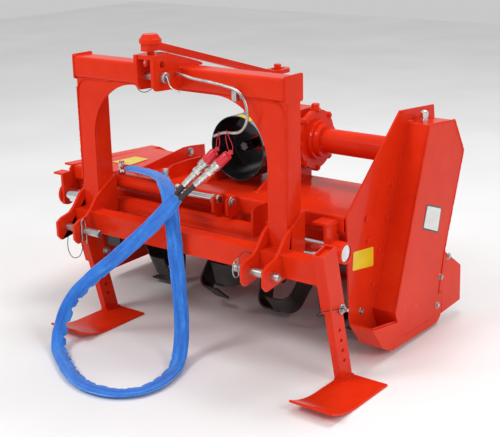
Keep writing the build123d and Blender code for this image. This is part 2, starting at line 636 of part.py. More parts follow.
hinge_y, hinge_z = BOARD_HINGE
with BuildPart() as board_rod:
    rod(at_x(LEFT_PLATE), BOARD_HINGE, 8, RIGHT_PLATE - LEFT_PLATE)
board_rod.part.label = "board_rod"
export_step(board_rod.part, "parts/board_rod.step")

with BuildPart() as levelling_board:
    with BuildSketch(at_x(LEFT_PLATE + 10)):
        with Locations((hinge_y, hinge_z)):
            Circle(12)
        Polygon((hinge_y - 4, hinge_z), (hinge_y + 4, hinge_z), (hinge_y + 54, 42), (hinge_y + 93, 0),
                (hinge_y + 83, 0), (hinge_y + 46, 40))
    extrude(amount=RIGHT_PLATE - LEFT_PLATE - 20)
    bore(at_x(LEFT_PLATE), BOARD_HINGE, 8.08, RIGHT_PLATE - LEFT_PLATE)
levelling_board.part.label = "levelling_board"
export_step(levelling_board.part, "parts/levelling_board.step")

# ---------------------------------------------------------------- stay

# Knob on the clevis bridge, bar to the gearbox and the post its slotted eye lies round
KNOB_X = -6.0
STAY_PIN = (GEAR_X, 662.0)
STAY_LOW = 922.0
EYE_THICK = 16.0
with BuildPart() as stay_knob:
    rod(at_z(CLEVIS_TOP), (KNOB_X, 0), 12, 66)
    with BuildSketch(at_z(CLEVIS_TOP + 36)):
        with Locations((KNOB_X, 0)):
            Circle(38)
    extrude(amount=14)
    with BuildSketch(at_z(CLEVIS_TOP + 50)):
        with Locations((KNOB_X, 0)):
            Circle(36)
    extrude(amount=16, taper=35)
stay_knob.part.label = "stay_knob"
export_step(stay_knob.part, "parts/stay_knob.step")

with BuildPart() as stay_post:
    rod(at_z(GEAR_Z + GEAR_HALF), STAY_PIN, 14, STAY_LOW + 34 - GEAR_Z - GEAR_HALF)
stay_post.part.label = "stay_post"
export_step(stay_post.part, "parts/stay_post.step")

stay_length = ((STAY_PIN[0] - KNOB_X) ** 2 + STAY_PIN[1] ** 2) ** 0.5
stay_turn = atan2(STAY_PIN[0] - KNOB_X, STAY_PIN[1])
stay_along = Vector(sin(stay_turn), cos(stay_turn), 0)
stay_across = Vector(cos(stay_turn), -sin(stay_turn), 0)
stay_origin = Vector(HITCH_X + KNOB_X, HITCH_Y, 0)
STAY_WIDE = 32.0
STAY_LEVEL = CLEVIS_TOP + 10        # underside of the bar at the knob
with BuildPart() as stay_bar:
    with BuildSketch(Plane(origin=stay_origin - stay_across * STAY_WIDE / 2, x_dir=stay_along,
                           z_dir=stay_across)):
        Polygon((-30, STAY_LEVEL), (30, STAY_LEVEL), (stay_length - 80, STAY_LOW),
                (stay_length - 46, STAY_LOW), (stay_length - 46, STAY_LOW + EYE_THICK),
                (30, STAY_LEVEL + 26), (-30, STAY_LEVEL + 26))
    extrude(amount=STAY_WIDE)
    with BuildSketch(Plane(origin=stay_origin + Vector(0, 0, STAY_LOW), x_dir=stay_along,
                           z_dir=(0, 0, 1))):
        with Locations((stay_length, 0)):
            SlotOverall(112, 66)
    extrude(amount=EYE_THICK)
    with BuildSketch(at_z(CLEVIS_TOP)):
        with Locations((KNOB_X, 0)):
            Circle(12.1)
    extrude(amount=100, mode=Mode.SUBTRACT)
    with BuildSketch(Plane(origin=stay_origin, x_dir=stay_along, z_dir=(0, 0, 1))):
        with Locations((stay_length, 0)):
            SlotOverall(64, 36)
    extrude(amount=STAY_LOW + 50, mode=Mode.SUBTRACT)
stay_bar.part.label = "stay_bar"
export_step(stay_bar.part, "parts/stay_bar.step")

# ---------------------------------------------------------------- hoses

# Hook of bent bar on the top-link clevis, where the hoses hang by their caps when parked
HOOK_DIA = 10.0
HOOK_Y = 60.0
HOOK_PATH = [(TOP_CLEVIS_GAP / 2 + BRACKET_THICK, 1008), (110, 996), (196, 991), (304, 978),
             (343, 946), (354, 905), (342, 862), (306, 830), (246, 830), (205, 810)]
with BuildPart() as hose_hook:
    with BuildLine(at_y(HOOK_Y)):
        FilletPolyline(*HOOK_PATH, radius=20)
    with BuildSketch(at_x(HOOK_PATH[0][0])):
        with Locations((HOOK_Y, HOOK_PATH[0][1])):
            Circle(HOOK_DIA / 2)
    sweep()
hose_hook.part.label = "hose_hook"
export_step(hose_hook.part, "parts/hose_hook.step")

# Both hoses run in one textile sleeve, from the port behind the leg over the cylinder, down
# ahead of the beam, in a loop on the ground and up again to the couplers
HOSE_DIA = 38.0
HOSE_LOW = 21.5
HOSE_ROUTE = [
    HOSE_START, (-262, 230, 584), (-150, 184, 590), (-32, 80, 592), (17, 38, 554), (46, 14, 489),
    (56, 13, 385), (66, 11, 285), (76, 7, 190), (84, 0, 122), (102, -31, 57),
    (136, -89, HOSE_LOW), (166, -164, HOSE_LOW), (182, -245, HOSE_LOW), (165, -325, HOSE_LOW),
    (104, -382, HOSE_LOW), (22, -402, HOSE_LOW), (-66, -383, HOSE_LOW), (-147, -339, HOSE_LOW),
    (-226, -290, HOSE_LOW), (-304, -241, HOSE_LOW), (-349, -191, 54), (-362, -146, 112),
    (-340, -117, 178), (-250, -86, 268), (-160, -58, 348), (-75, -38, 424), (20, -28, 510),
    (110, -27, 604)]
route = [Vector(HITCH_X + x, HITCH_Y + y, z) for x, y, z in HOSE_ROUTE]
runs = [end - start for start, end in zip(route, route[1:])]
hose_radii = []
for before, after in zip(runs, runs[1:]):
    half_turn = radians(before.get_angle(after)) / 2
    hose_radii.append(0.45 * min(before.length, after.length) / tan(half_turn))
with BuildPart() as hydraulic_hoses:
    with BuildLine():
        hose_line = FilletPolyline(*route, radius=hose_radii)
    with BuildSketch(Plane(origin=route[0], z_dir=runs[0])):
        Circle(HOSE_DIA / 2)
    sweep(path=hose_line)
hydraulic_hoses.part.label = "hydraulic_hoses"
export_step(hydraulic_hoses.part, "parts/hydraulic_hoses.step")
print("hose length", round(hose_line.length), "smallest radius", round(min(hose_radii)))
print("hose radii", [round(radius) for radius in hose_radii])

# Hose ends out of the sleeve with quick couplers, as (distance up the hose, radius, length)
COUPLER_STEPS = [(0, 9, 46), (46, 12, 62), (108, 15, 16), (124, 13, 14), (138, 17, 26),
                 (164, 18, 46), (210, 8, 16)]
COUPLERS = [((102, -27, 611), (240, 45, 781), 0), ((118, -27, 597), (298, 45, 777), 34)]
with BuildPart() as hose_couplers:
    for start, end, longer in COUPLERS:
        foot = Vector(HITCH_X, HITCH_Y, 0) + Vector(*start)
        along = Vector(*end) - Vector(*start)
        for reach, radius, length in COUPLER_STEPS:
            shift = longer if reach else 0
            extra = 0 if reach else longer
            rod(Plane(origin=foot + along.normalized() * (reach + shift), z_dir=along), (0, 0),
                radius, length + extra)
    bore(Plane(origin=route[-1], z_dir=runs[-1] * -1), (0, 0), HOSE_DIA / 2, HOSE_DIA)
hose_couplers.part.label = "hose_couplers"
export_step(hose_couplers.part, "parts/hose_couplers.step")
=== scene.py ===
"""Side-shift rotary tiller: a portal that a tractor carries, and a tiller that slides on it."""
import json
import math

import bmesh
import bpy
from mathutils import Matrix, Vector, noise


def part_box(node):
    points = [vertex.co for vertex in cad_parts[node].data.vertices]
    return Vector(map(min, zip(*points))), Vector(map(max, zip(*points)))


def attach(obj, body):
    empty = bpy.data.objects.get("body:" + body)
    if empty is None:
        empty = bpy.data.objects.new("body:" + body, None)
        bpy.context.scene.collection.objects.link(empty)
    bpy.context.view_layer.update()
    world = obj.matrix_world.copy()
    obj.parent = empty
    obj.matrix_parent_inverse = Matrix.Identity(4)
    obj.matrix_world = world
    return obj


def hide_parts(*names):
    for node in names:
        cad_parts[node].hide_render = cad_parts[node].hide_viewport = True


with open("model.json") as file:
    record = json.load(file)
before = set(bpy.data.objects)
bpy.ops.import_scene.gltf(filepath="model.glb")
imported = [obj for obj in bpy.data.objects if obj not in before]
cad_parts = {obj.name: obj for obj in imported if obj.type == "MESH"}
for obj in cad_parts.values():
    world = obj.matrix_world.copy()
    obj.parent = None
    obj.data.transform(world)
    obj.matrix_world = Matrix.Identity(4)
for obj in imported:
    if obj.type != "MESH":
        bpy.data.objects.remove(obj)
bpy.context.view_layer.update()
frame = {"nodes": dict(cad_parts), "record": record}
nodes = frame["nodes"]

# The tractor's lower link axis on the machine's centre plane. Places are given from here in
# millimetres: across to the chain case, rearward, and up from the ground.
legs_low, legs_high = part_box("portal_legs")
pins_low, pins_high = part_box("lower_hitch_pins")
hitch = Vector(((legs_low[0] + legs_high[0]) / 2, (pins_low[1] + pins_high[1]) / 2, 0))


def at(x, y, z):
    """A place in millimetres from the hitch, as metres in the shared frame."""
    return hitch + Vector((x, y, z)) / 1000


# ---- Camera ----------------------------------------------------------------------------
# A long lens on a full-frame camera, which stands off the front corner of the chain-case side
# a little above the portal. It was fitted to the portal, so its numbers aren't round.
CAMERA_PLACE = (2386.39, -2590.08, 1585.63)
CAMERA_AHEAD = (-0.58169957, 0.75742526, -0.29653429)
CAMERA_RIGHT = (0.79637347, 0.60453501, -0.01807554)
CAMERA_LENS = 75.79
camera_data = bpy.data.cameras.new("camera")
camera_data.sensor_width = 36.0
camera_data.lens = CAMERA_LENS
camera_data.clip_end = 60.0
camera = bpy.data.objects.new("camera", camera_data)
bpy.context.scene.collection.objects.link(camera)
ahead = Vector(CAMERA_AHEAD).normalized()
right = Vector(CAMERA_RIGHT).normalized()
turn = Matrix((right, right.cross(ahead), -ahead)).transposed()
camera.matrix_world = Matrix.Translation(at(*CAMERA_PLACE)) @ turn.to_4x4()
bpy.context.scene.camera = camera


# ---- Hose sleeve -----------------------------------------------------------------------
# Both hydraulic hoses run in one lay-flat sleeve of woven blue polyester. It leaves the port
# behind the leg, hangs over the beam, lies in a loop on the ground and rises to the couplers.
class Wire:
    """One output of a node, so that maths on it reads as sums."""

    def __init__(self, owner, socket):
        self.owner = owner
        self.socket = socket

    def maths(self, operation, first, second):
        return self.owner.node("ShaderNodeMath", {"operation": operation}, {0: first, 1: second})

    def __add__(self, other):
        return self.maths("ADD", self, other)

    __radd__ = __add__

    def __mul__(self, other):
        return self.maths("MULTIPLY", self, other)

    __rmul__ = __mul__

    def near(self, place, reach):
        """One within reach of a place, else nothing."""
        sockets = {0: self, 1: place, 2: reach}
        return self.owner.node("ShaderNodeMath", {"operation": "COMPARE"}, sockets)


class Tree:
    """A node tree that grows by one call a node."""

    def node(self, kind, settings=None, sockets=None, output=0):
        """A node of any kind: its settings first, then the values or wires of its sockets."""
        made = self.tree.nodes.new(kind)
        for key, value in (settings or {}).items():
            if key == "stops":
                while len(made.color_ramp.elements) < len(value):
                    made.color_ramp.elements.new(0.5)
                for stop, (place, shade) in zip(made.color_ramp.elements, value):
                    stop.position = place
                    stop.color = (*shade, 1)
            else:
                setattr(made, key, value)
        for key, value in (sockets or {}).items():
            self.join(made.inputs[key], value)
        return Wire(self, made.outputs[output])

    def join(self, socket, value):
        """Links a wire or a list of wires to a socket, or sets its value."""
        if isinstance(value, list):
            for wire in value:
                self.tree.links.new(wire.socket, socket)
        elif isinstance(value, Wire):
            self.tree.links.new(value.socket, socket)
        elif isinstance(value, tuple) and len(value) == 3 and socket.type == "RGBA":
            socket.default_value = (*value, 1)
        else:
            socket.default_value = value


class Finish(Tree):
    """A material and the shader that its nodes feed."""

    def __init__(self, name, **constants):
        self.material = bpy.data.materials.new(name)
        self.material.use_nodes = True
        self.tree = self.material.node_tree
        self.shader = self.tree.nodes["Principled BSDF"]
        self.surface(**constants)

    def surface(self, **sockets):
        """Sets the shader's own sockets, named with underscores for spaces."""
        for key, value in sockets.items():
            self.join(self.shader.inputs[key.replace("_", " ")], value)

    def noise(self, scale, detail=3.0, place=None):
        """Cloudy noise over the object, or over another place given by a wire."""
        place = place or self.node("ShaderNodeTexCoord", output="Object")
        return self.node("ShaderNodeTexNoise", None,
                         {"Vector": place, "Scale": scale, "Detail": detail})

    def shade(self, amount, stops):
        """A colour ramp; each stop is (amount, colour)."""
        return self.node("ShaderNodeValToRGB", {"stops": stops}, {"Fac": amount})

    def bump(self, height, strength, distance):
        """Fine relief of a height, distance deep in metres."""
        return self.node("ShaderNodeBump", None,
                         {"Height": height, "Strength": strength, "Distance": distance})


def show(name, mesh, finish, body, stands_for=()):
    """A finished piece: its object at the origin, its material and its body."""
    piece = bpy.data.objects.new(name, mesh)
    bpy.context.scene.collection.objects.link(piece)
    mesh.materials.clear()
    mesh.materials.append(finish.material)
    if stands_for:
        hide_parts(*stands_for)
    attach(piece, body)
    return piece


def soft_line(points, name="line"):
    """Points along the smooth line that a hose or a wire takes past its route's points."""
    data = bpy.data.curves.new(name, "CURVE")
    data.dimensions = "3D"
    data.resolution_u = 16
    spline = data.splines.new("NURBS")
    spline.points.add(len(points) - 1)
    for control, place in zip(spline.points, points):
        control.co = (*place, 1)
    spline.order_u = 3
    spline.use_endpoint_u = True
    holder = bpy.data.objects.new(name, data)
    bpy.context.scene.collection.objects.link(holder)
    drawn = holder.evaluated_get(bpy.context.evaluated_depsgraph_get())
    mesh = bpy.data.meshes.new_from_object(drawn)
    line = [point.co.copy() for point in mesh.vertices]
    bpy.data.objects.remove(holder)
    bpy.data.meshes.remove(mesh)
    return line


SLEEVE_GIRTH = 0.13


def tube(shape, line, ring, side=None):
    """A closed tube round a line; ring(along, part) gives a ring's (sideways, up) offsets."""
    uv = shape.loops.layers.uv.verify()
    lengths = [0.0]
    for before, after in zip(line, line[1:]):
        lengths.append(lengths[-1] + (after - before).length)
    across = side or Vector((0, 0, 1)).orthogonal()
    rings = []
    for index, place in enumerate(line):
        along = (line[min(index + 1, len(line) - 1)] - line[max(index - 1, 0)]).normalized()
        part = lengths[index] / lengths[-1]
        wanted = across(part) if callable(across) else (rings[-1][1] if rings else across)
        sideways = (wanted - along * wanted.dot(along)).normalized()
        up = along.cross(sideways)
        points = [shape.verts.new(place + sideways * a + up * b)
                  for a, b in ring(lengths[index], part)]
        rings.append((points, sideways))
    count = len(rings[0][0])
    for step in range(len(rings) - 1):
        for turn in range(count):
            corners = ((step, turn), (step, turn + 1), (step + 1, turn + 1), (step + 1, turn))
            face = shape.faces.new([rings[a][0][b % count] for a, b in corners])
            face.smooth = True
            for loop, (a, b) in zip(face.loops, corners):
                loop[uv].uv = (lengths[a], b / count * SLEEVE_GIRTH)
    shape.faces.new(rings[0][0][::-1])
    shape.faces.new(rings[-1][0])


def circle(radius, sides=12):
    """Offsets of a round ring."""
    turns = [2 * math.pi * step / sides for step in range(sides)]
    return [(radius * math.cos(a), radius * math.sin(a)) for a in turns]


def finished_mesh(shape, name):
    """A bmesh turned into a mesh with its faces outward."""
    bmesh.ops.recalc_face_normals(shape, faces=shape.faces)
    mesh = bpy.data.meshes.new(name)
    shape.to_mesh(mesh)
    shape.free()
    return mesh


# The route in metres from the hitch, across, rearward and up, as the hose's solid runs
SLEEVE_ROUTE = [
    (-0.372, 0.230, 0.584), (-0.262, 0.230, 0.582), (-0.150, 0.184, 0.588),
    (-0.032, 0.080, 0.592), (0.017, 0.038, 0.554), (0.046, 0.014, 0.489),
    (0.056, 0.013, 0.385), (0.066, 0.011, 0.285), (0.076, 0.007, 0.190),
    (0.084, 0.000, 0.122), (0.102, -0.031, 0.052), (0.136, -0.089, 0.0148),
    (0.166, -0.164, 0.0148), (0.182, -0.245, 0.0148), (0.165, -0.325, 0.0148),
    (0.104, -0.376, 0.0148), (0.022, -0.393, 0.0148), (-0.066, -0.377, 0.0148),
    (-0.147, -0.339, 0.0148), (-0.226, -0.290, 0.0148), (-0.304, -0.241, 0.0148),
    (-0.349, -0.191, 0.050), (-0.362, -0.146, 0.112), (-0.340, -0.117, 0.178),
    (-0.250, -0.086, 0.268), (-0.160, -0.058, 0.348), (-0.075, -0.038, 0.424),
    (0.020, -0.028, 0.510), (0.110, -0.027, 0.604)]
SLEEVE_WIDTH = 0.054
SLEEVE_THICK = 0.019
# Which way the flat lies along the sleeve: on the cylinder, over the beam, hanging, on the
# ground in three places, rising and at the couplers
SLEEVE_LIES = [
    (0.0, (0, 1, 0)), (0.09, (0.25, 0.95, -0.12)), (0.15, (0.7, 0.7, 0)), (0.2, (0.8, 0.6, 0)),
    (0.34, (0.85, 0.52, 0)), (0.42, (0.86, 0.5, 0)), (0.5, (0.6, -0.8, 0)),
    (0.56, (0.2, -0.98, 0)), (0.66, (-0.53, -0.85, 0)), (0.73, (-0.6, -0.75, 0.2)),
    (0.8, (-0.66, -0.3, 0.62)), (1.0, (-0.70, -0.1, 0.70))]
SLEEVE_SIDES = 28
SCALLOP = 0.014                  # how far the slack edge gathers
SCALLOP_RATE = 105               # radians of its wave in a metre
WRINKLE = 0.0016                 # depth of the creases in its faces
LOOP_FROM, LOOP_TO = 0.37, 0.84  # the slack stretch, as parts of the length


def sleeve_side(part):
    """Direction across the flat at a part of the sleeve's length."""
    for (start, first), (end, last) in zip(SLEEVE_LIES, SLEEVE_LIES[1:]):
        if part <= end:
            share = (part - start) / (end - start)
            return Vector(first).lerp(Vector(last), share * share * (3 - 2 * share))
    return Vector(SLEEVE_LIES[-1][1])


def sleeve_ring(along, part):
    """A flat oval with the two hoses inside, gathered along the edge inside the loop."""
    ring = []
    mouth = min(1.0, 0.55 + along / 0.05) * min(1.0, 0.8 + (1 - part) * 12)
    for step in range(SLEEVE_SIDES):
        turn = 2 * math.pi * step / SLEEVE_SIDES
        a, b = math.cos(turn), math.sin(turn)
        wide = SLEEVE_WIDTH / 2 * math.copysign(abs(a) ** 0.8, a)
        thick = SLEEVE_THICK / 2 * math.copysign(abs(b) ** 0.62, b)
        pucker = noise.noise(Vector((along * 17, a * 1.2, b * 0.7)))
        crease = noise.noise(Vector((along * 70 + a * 2.5, a * 3.4, b + 7)))
        fold = abs(noise.noise(Vector((along * 5 + 3, a * 5.5, b))))
        swell = 1 + 0.08 * pucker
        slack = max(0.0, min(1.0, (part - LOOP_FROM) * 16, (LOOP_TO - part) * 10))
        slack *= max(0.0, -a) ** 2
        sway = 2.5 * noise.noise(Vector((along * 9, 0, 4)))
        gather = max(0.0, math.sin(along * SCALLOP_RATE + sway)) ** 1.5
        ring.append((wide * swell * mouth + SCALLOP * slack * gather,
                     thick * mouth + math.copysign(WRINKLE, b) * (
                         crease + 0.9 * pucker - 1.5 * fold + 1.8 * slack * (gather - 0.4))))
    return ring


weave = Finish("woven_polyester")
thread = weave.node("ShaderNodeTexCoord", output="UV")
warp = weave.node("ShaderNodeTexWave", {"bands_direction": "X"},
                  {"Vector": thread, "Scale": 190.0})
weft = weave.node("ShaderNodeTexWave", {"bands_direction": "Y"},
                  {"Vector": thread, "Scale": 230.0})
drawn_out = weave.node("ShaderNodeMapping", None, {"Vector": thread, "Scale": (5.0, 55.0, 1.0)})
streak = weave.noise(1.6, 4.0, drawn_out)
girth = weave.node("ShaderNodeSeparateXYZ", None, {"Vector": thread}, output=1)
# Lighter lines along both folded edges of the flat sleeve: a painted highlight where the edges
# turn to the light.
edge_highlight = girth.near(0.0, 0.0026) + girth.near(SLEEVE_GIRTH / 2, 0.0030)
dust = streak * 0.8 + weave.noise(60.0, 3.0) * 0.2
# The colour adds the painted edge highlight to the fabric's own streaks and weave.
weave.surface(
    Sheen_Weight=0.3, Sheen_Roughness=0.4,
    Base_Color=weave.shade(dust + 0.10 * warp * weft + 0.30 * edge_highlight, (
        (0.30, (0.006, 0.100, 0.48)), (0.55, (0.014, 0.190, 0.74)),
        (0.70, (0.050, 0.30, 0.86)), (0.95, (0.28, 0.52, 0.92)))),
    Roughness=0.52 + 0.12 * dust,
    Normal=weave.bump(warp * weft, 0.5, 0.0006))
sleeve_line = soft_line([hitch + Vector(place) for place in SLEEVE_ROUTE])
shape = bmesh.new()
tube(shape, sleeve_line, sleeve_ring, sleeve_side)
hose_sleeve = show("hose_sleeve", finished_mesh(shape, "hose_sleeve"), weave, "hitch_frame",
                   ["hydraulic_hoses"])


# ---- Hose ends and couplers ------------------------------------------------------------
# Each hose ends in a swaged ferrule and a quick coupler under a red dust cap, and hangs by
# the cap's tether from the hook. All but the rubber and the caps is nickel-plated steel.
def lathe(shape, start, along, profile, sides=32):
    """A turned form: profile is (distance along, radius) in millimetres, ends closed."""
    along = along.normalized()
    sideways = along.orthogonal().normalized()
    up = along.cross(sideways)
    rings = []
    for reach, radius in profile:
        rings.append([shape.verts.new(start + along * reach / 1000
                                      + (sideways * a + up * b) / 1000)
                      for a, b in circle(radius, sides)])
    for first, second in zip(rings, rings[1:]):
        for turn in range(sides):
            face = shape.faces.new((first[turn], first[(turn + 1) % sides],
                                    second[(turn + 1) % sides], second[turn]))
            face.smooth = sides > 8
    shape.faces.new(rings[0][::-1])
    shape.faces.new(rings[-1])


def turned(name, finish, body, jobs, stands_for=(), sharp=32):
    """A piece made of turned forms, each (start, along, profile, sides)."""
    shape = bmesh.new()
    for start, along, profile, sides in jobs:
        lathe(shape, start, along, profile, sides)
    mesh = finished_mesh(shape, name)
    mesh.shade_smooth()
    mesh.set_sharp_from_angle(angle=math.radians(sharp))
    return show(name, mesh, finish, body, stands_for)


rubber = Finish("hose_rubber")
scuff = rubber.noise(60.0, 4.0)
rubber.surface(Base_Color=rubber.shade(scuff, ((0.3, (0.012, 0.012, 0.0148)),
                                               (0.8, (0.04, 0.04, 0.042)))),
               Roughness=0.42 + 0.2 * scuff, Normal=rubber.bump(scuff, 0.15, 0.0005))
nickel = Finish("nickel_plate")
smear = nickel.noise(45.0, 4.0)
nickel.surface(Base_Color=nickel.shade(smear, ((0.3, (0.62, 0.61, 0.58)),
                                               (0.7, (0.88, 0.87, 0.84)))),
               Metallic=1.0, Roughness=0.14 + 0.22 * smear, Normal=nickel.bump(smear, 0.1, 0.0003))
cap_red = Finish("cap_plastic")
mould = cap_red.noise(30.0, 2.0)
cap_red.surface(Base_Color=cap_red.shade(mould, ((0.2, (0.60, 0.010, 0.022)),
                                                 (0.8, (0.76, 0.020, 0.045)))),
                Roughness=0.30 + 0.1 * mould, Coat_Weight=0.2,
                Normal=cap_red.bump(mould, 0.1, 0.0006))

# Where each leaves the sleeve, where its cap points, and how much later its steel starts
COUPLERS = {"a": ((102, -27, 611), (240, 45, 781), 0), "b": ((118, -27, 597), (298, 45, 777), 34)}
FERRULE = [(0, 9.6), (1, 11.6), (9, 12), (10, 10.9), (15, 10.9), (16, 12), (24, 12), (25, 10.9),
           (30, 10.9), (31, 12), (39, 12), (40, 10.9), (45, 10.9), (46, 12), (60, 11.6), (62, 9)]
HEXAGON = [(0, 13.8), (1.5, 15.8), (14.5, 15.8), (16, 13.8)]
COUPLER_BODY = [(0, 12), (2, 13), (12, 13), (14, 16), (16, 17.2), (21, 17.2), (22, 16), (24, 16),
                (25, 17.2), (34, 17.2), (35, 16.2), (38, 16.2), (40, 14)]
CAP = [(0, 16.6), (1, 18), (5, 18), (6, 17.2), (38, 16.6), (43, 15), (46, 10), (47, 6.5),
       (53, 6.5), (54, 8.6), (58, 8.6), (59, 6), (62, 4)]
# How far up the hose each part starts, in millimetres
FERRULE_AT, HEXAGON_AT, BODY_AT, CAP_AT, CAP_TIP_AT = 46, 108, 124, 164, 223
TAIL_END = 60
steel_jobs, rubber_jobs, cap_jobs, cap_tips = [], [], [], {}
for key, (start, end, later) in COUPLERS.items():
    start, end = at(*start), at(*end)
    along = (end - start).normalized()
    tail = [(0, 8), (2, 9), (TAIL_END + later, 9), (TAIL_END + 1 + later, 8)]
    rubber_jobs.append((start + along * 0.004, along, tail, 24))
    for reach, profile, sides in ((FERRULE_AT, FERRULE, 32), (HEXAGON_AT, HEXAGON, 6),
                                  (BODY_AT, COUPLER_BODY, 40)):
        steel_jobs.append((start + along * (reach + later) / 1000, along, profile, sides))
    cap_jobs.append((start + along * (CAP_AT + later) / 1000, along, CAP, 32))
    cap_tips[key] = (start + along * (CAP_TIP_AT + later) / 1000, along)
hose_tails = turned("hose_tails", rubber, "hitch_frame", rubber_jobs)
hose_ferrules = turned("hose_ferrules", nickel, "hitch_frame",
                       [job for job in steel_jobs if job[2] is FERRULE])
turned("hose_couplers_finished", nickel, "hitch_frame",
       [job for job in steel_jobs if job[2] is not FERRULE], ["hose_couplers"])
turned("coupler_caps", cap_red, "hitch_frame", cap_jobs)


# ---- Hook, cap tethers -----------------------------------------------------------------
# A bent zinc-plated bar bolted to the top-link clevis by a small clip plate. A red string on
# each dust cap is looped over it, which holds both hoses up when they are not in use.
def bent(name, finish, body, routes, radius, stands_for=(), sides=12):
    """Round bars or wires bent along soft lines, all of one piece."""
    shape = bmesh.new()
    lines = []
    for route in routes:
        line = soft_line([at(*place) for place in route])
        tube(shape, line, lambda along, part: circle(radius / 1000, sides))
        lines.append(line)
    return show(name, finished_mesh(shape, name), finish, body, stands_for), lines


def tether(name, finish, body, route, radius):
    """A thin cord made fast at both of its ends."""
    piece, (line,) = bent(name, finish, body, [route], radius, sides=8)
    length = sum((b - a).length for a, b in zip(line, line[1:]))


zinc = Finish("zinc_plate", Metallic=1.0)
stain = zinc.noise(38.0, 5.0)
zinc.surface(Base_Color=zinc.shade(stain, ((0.3, (0.36, 0.36, 0.35)), (0.7, (0.66, 0.66, 0.64)))),
             Roughness=0.22 + 0.30 * stain, Normal=zinc.bump(stain, 0.12, 0.0004))
string = Finish("red_string")
ply = string.noise(900.0, 1.0)
string.surface(Base_Color=string.shade(ply, ((0.3, (0.42, 0.008, 0.02)),
                                             (0.7, (0.72, 0.02, 0.05)))),
               Roughness=0.7 + 0.1 * ply, Normal=string.bump(ply, 0.5, 0.0004))
HOOK_ROUTE = [(42, 60, 1008), (84, 60, 1003), (124, 60, 995), (196, 60, 991), (262, 60, 983),
              (304, 60, 976), (336, 60, 952), (352, 60, 905), (342, 60, 862), (318, 60, 836),
              (284, 60, 829), (246, 60, 829), (206, 60, 810)]
bent("hose_hook_finished", zinc, "hitch_frame", [HOOK_ROUTE], 4.9, ["hose_hook"], 16)
turned("hook_clip", zinc, "hitch_frame", [
    (at(292, 72, 972), Vector((0, 0.02, -1)), [(0, 10), (2, 13), (36, 13), (38, 10)], 4),
    (at(292, 98, 951), Vector((0, -1, 0)), [(0, 12), (3, 12), (3.4, 9), (12, 9), (14, 7)], 6)],
    sharp=20)
OVER_HOOK = {"a": (226, 60, 828), "b": (262, 60, 838)}
for key, (tip, along) in cap_tips.items():
    nose = (tip - hitch) * 1000
    over = OVER_HOOK[key]
    tether("cap_string_" + key, string, "hitch_frame",
           [tuple(nose), tuple(nose + along * 14), (over[0] + 6, 52, over[2] - 6), over,
            (over[0] - 8, 70, over[2] - 4), (over[0] - 10, 62, over[2] - 26),
            tuple(nose + Vector((-14, 8, -16))),
            tuple(nose - along * 8 + Vector((-2, 8, 0)))], 1.3)


# ---- Portal ----------------------------------------------------------------------------
# The carriage that the tractor holds: two legs of square tube under a crossbeam, an arched
# front plate, the beam and four cheeks, cut from plate and tube and MIG-welded. It is sprayed
# with glossy red enamel after welding, which softens every cut edge.
def cast(name, finish, bevel=1.2, sharp=30):
    """The node's own form with its cut edges broken and its flats left flat."""
    mesh = nodes[name].data.copy()
    shape = bmesh.new()
    shape.from_mesh(mesh)
    bmesh.ops.remove_doubles(shape, verts=shape.verts, dist=2e-5)
    bmesh.ops.dissolve_limit(shape, angle_limit=math.radians(0.4), verts=shape.verts,
                             edges=shape.edges)
    shape.to_mesh(mesh)
    shape.free()
    mesh.shade_smooth()
    mesh.set_sharp_from_angle(angle=math.radians(sharp))
    piece = bpy.data.objects.new(name, mesh)
    bpy.context.scene.collection.objects.link(piece)
    rounding = piece.modifiers.new("edges", "BEVEL")
    rounding.width = bevel / 1000
    rounding.segments = 2
    rounding.limit_method = "ANGLE"
    rounding.angle_limit = math.radians(sharp)
    rounding.harden_normals = True
    drawn = piece.evaluated_get(bpy.context.evaluated_depsgraph_get())
    settled = bpy.data.meshes.new_from_object(drawn)
    bpy.data.objects.remove(piece)
    return show(name + "_finished", settled, finish, body_of[name], [name])


body_of = {member: body for body, members in frame["record"]["behaviour"]["bodies"].items()
           for member in members}

red = Finish("red_enamel", Coat_Roughness=0.04, Specular_IOR_Level=0.07)
run = red.noise(2.6, 2.0)
flow = red.noise(16.0, 2.0)
peel = red.noise(300.0, 2.0)
red.surface(
    Base_Color=red.shade(run * 0.6 + flow * 0.4, (
        (0.30, (0.68, 0.023, 0.0045)), (0.5, (0.73, 0.029, 0.0055)),
        (0.70, (0.78, 0.036, 0.0070)))),
    Roughness=0.20 + 0.10 * flow, Coat_Weight=0.09 + 0.13 * run,
    Normal=red.bump(flow + 0.06 * peel, 0.10, 0.0014))

for name in ("portal_legs", "crossbeam", "portal_end_plates", "portal_plate", "hitch_cheeks",
             "lower_beam", "top_link_bracket", "skid_sockets", "rail_sleeve"):
    cast(name, red)


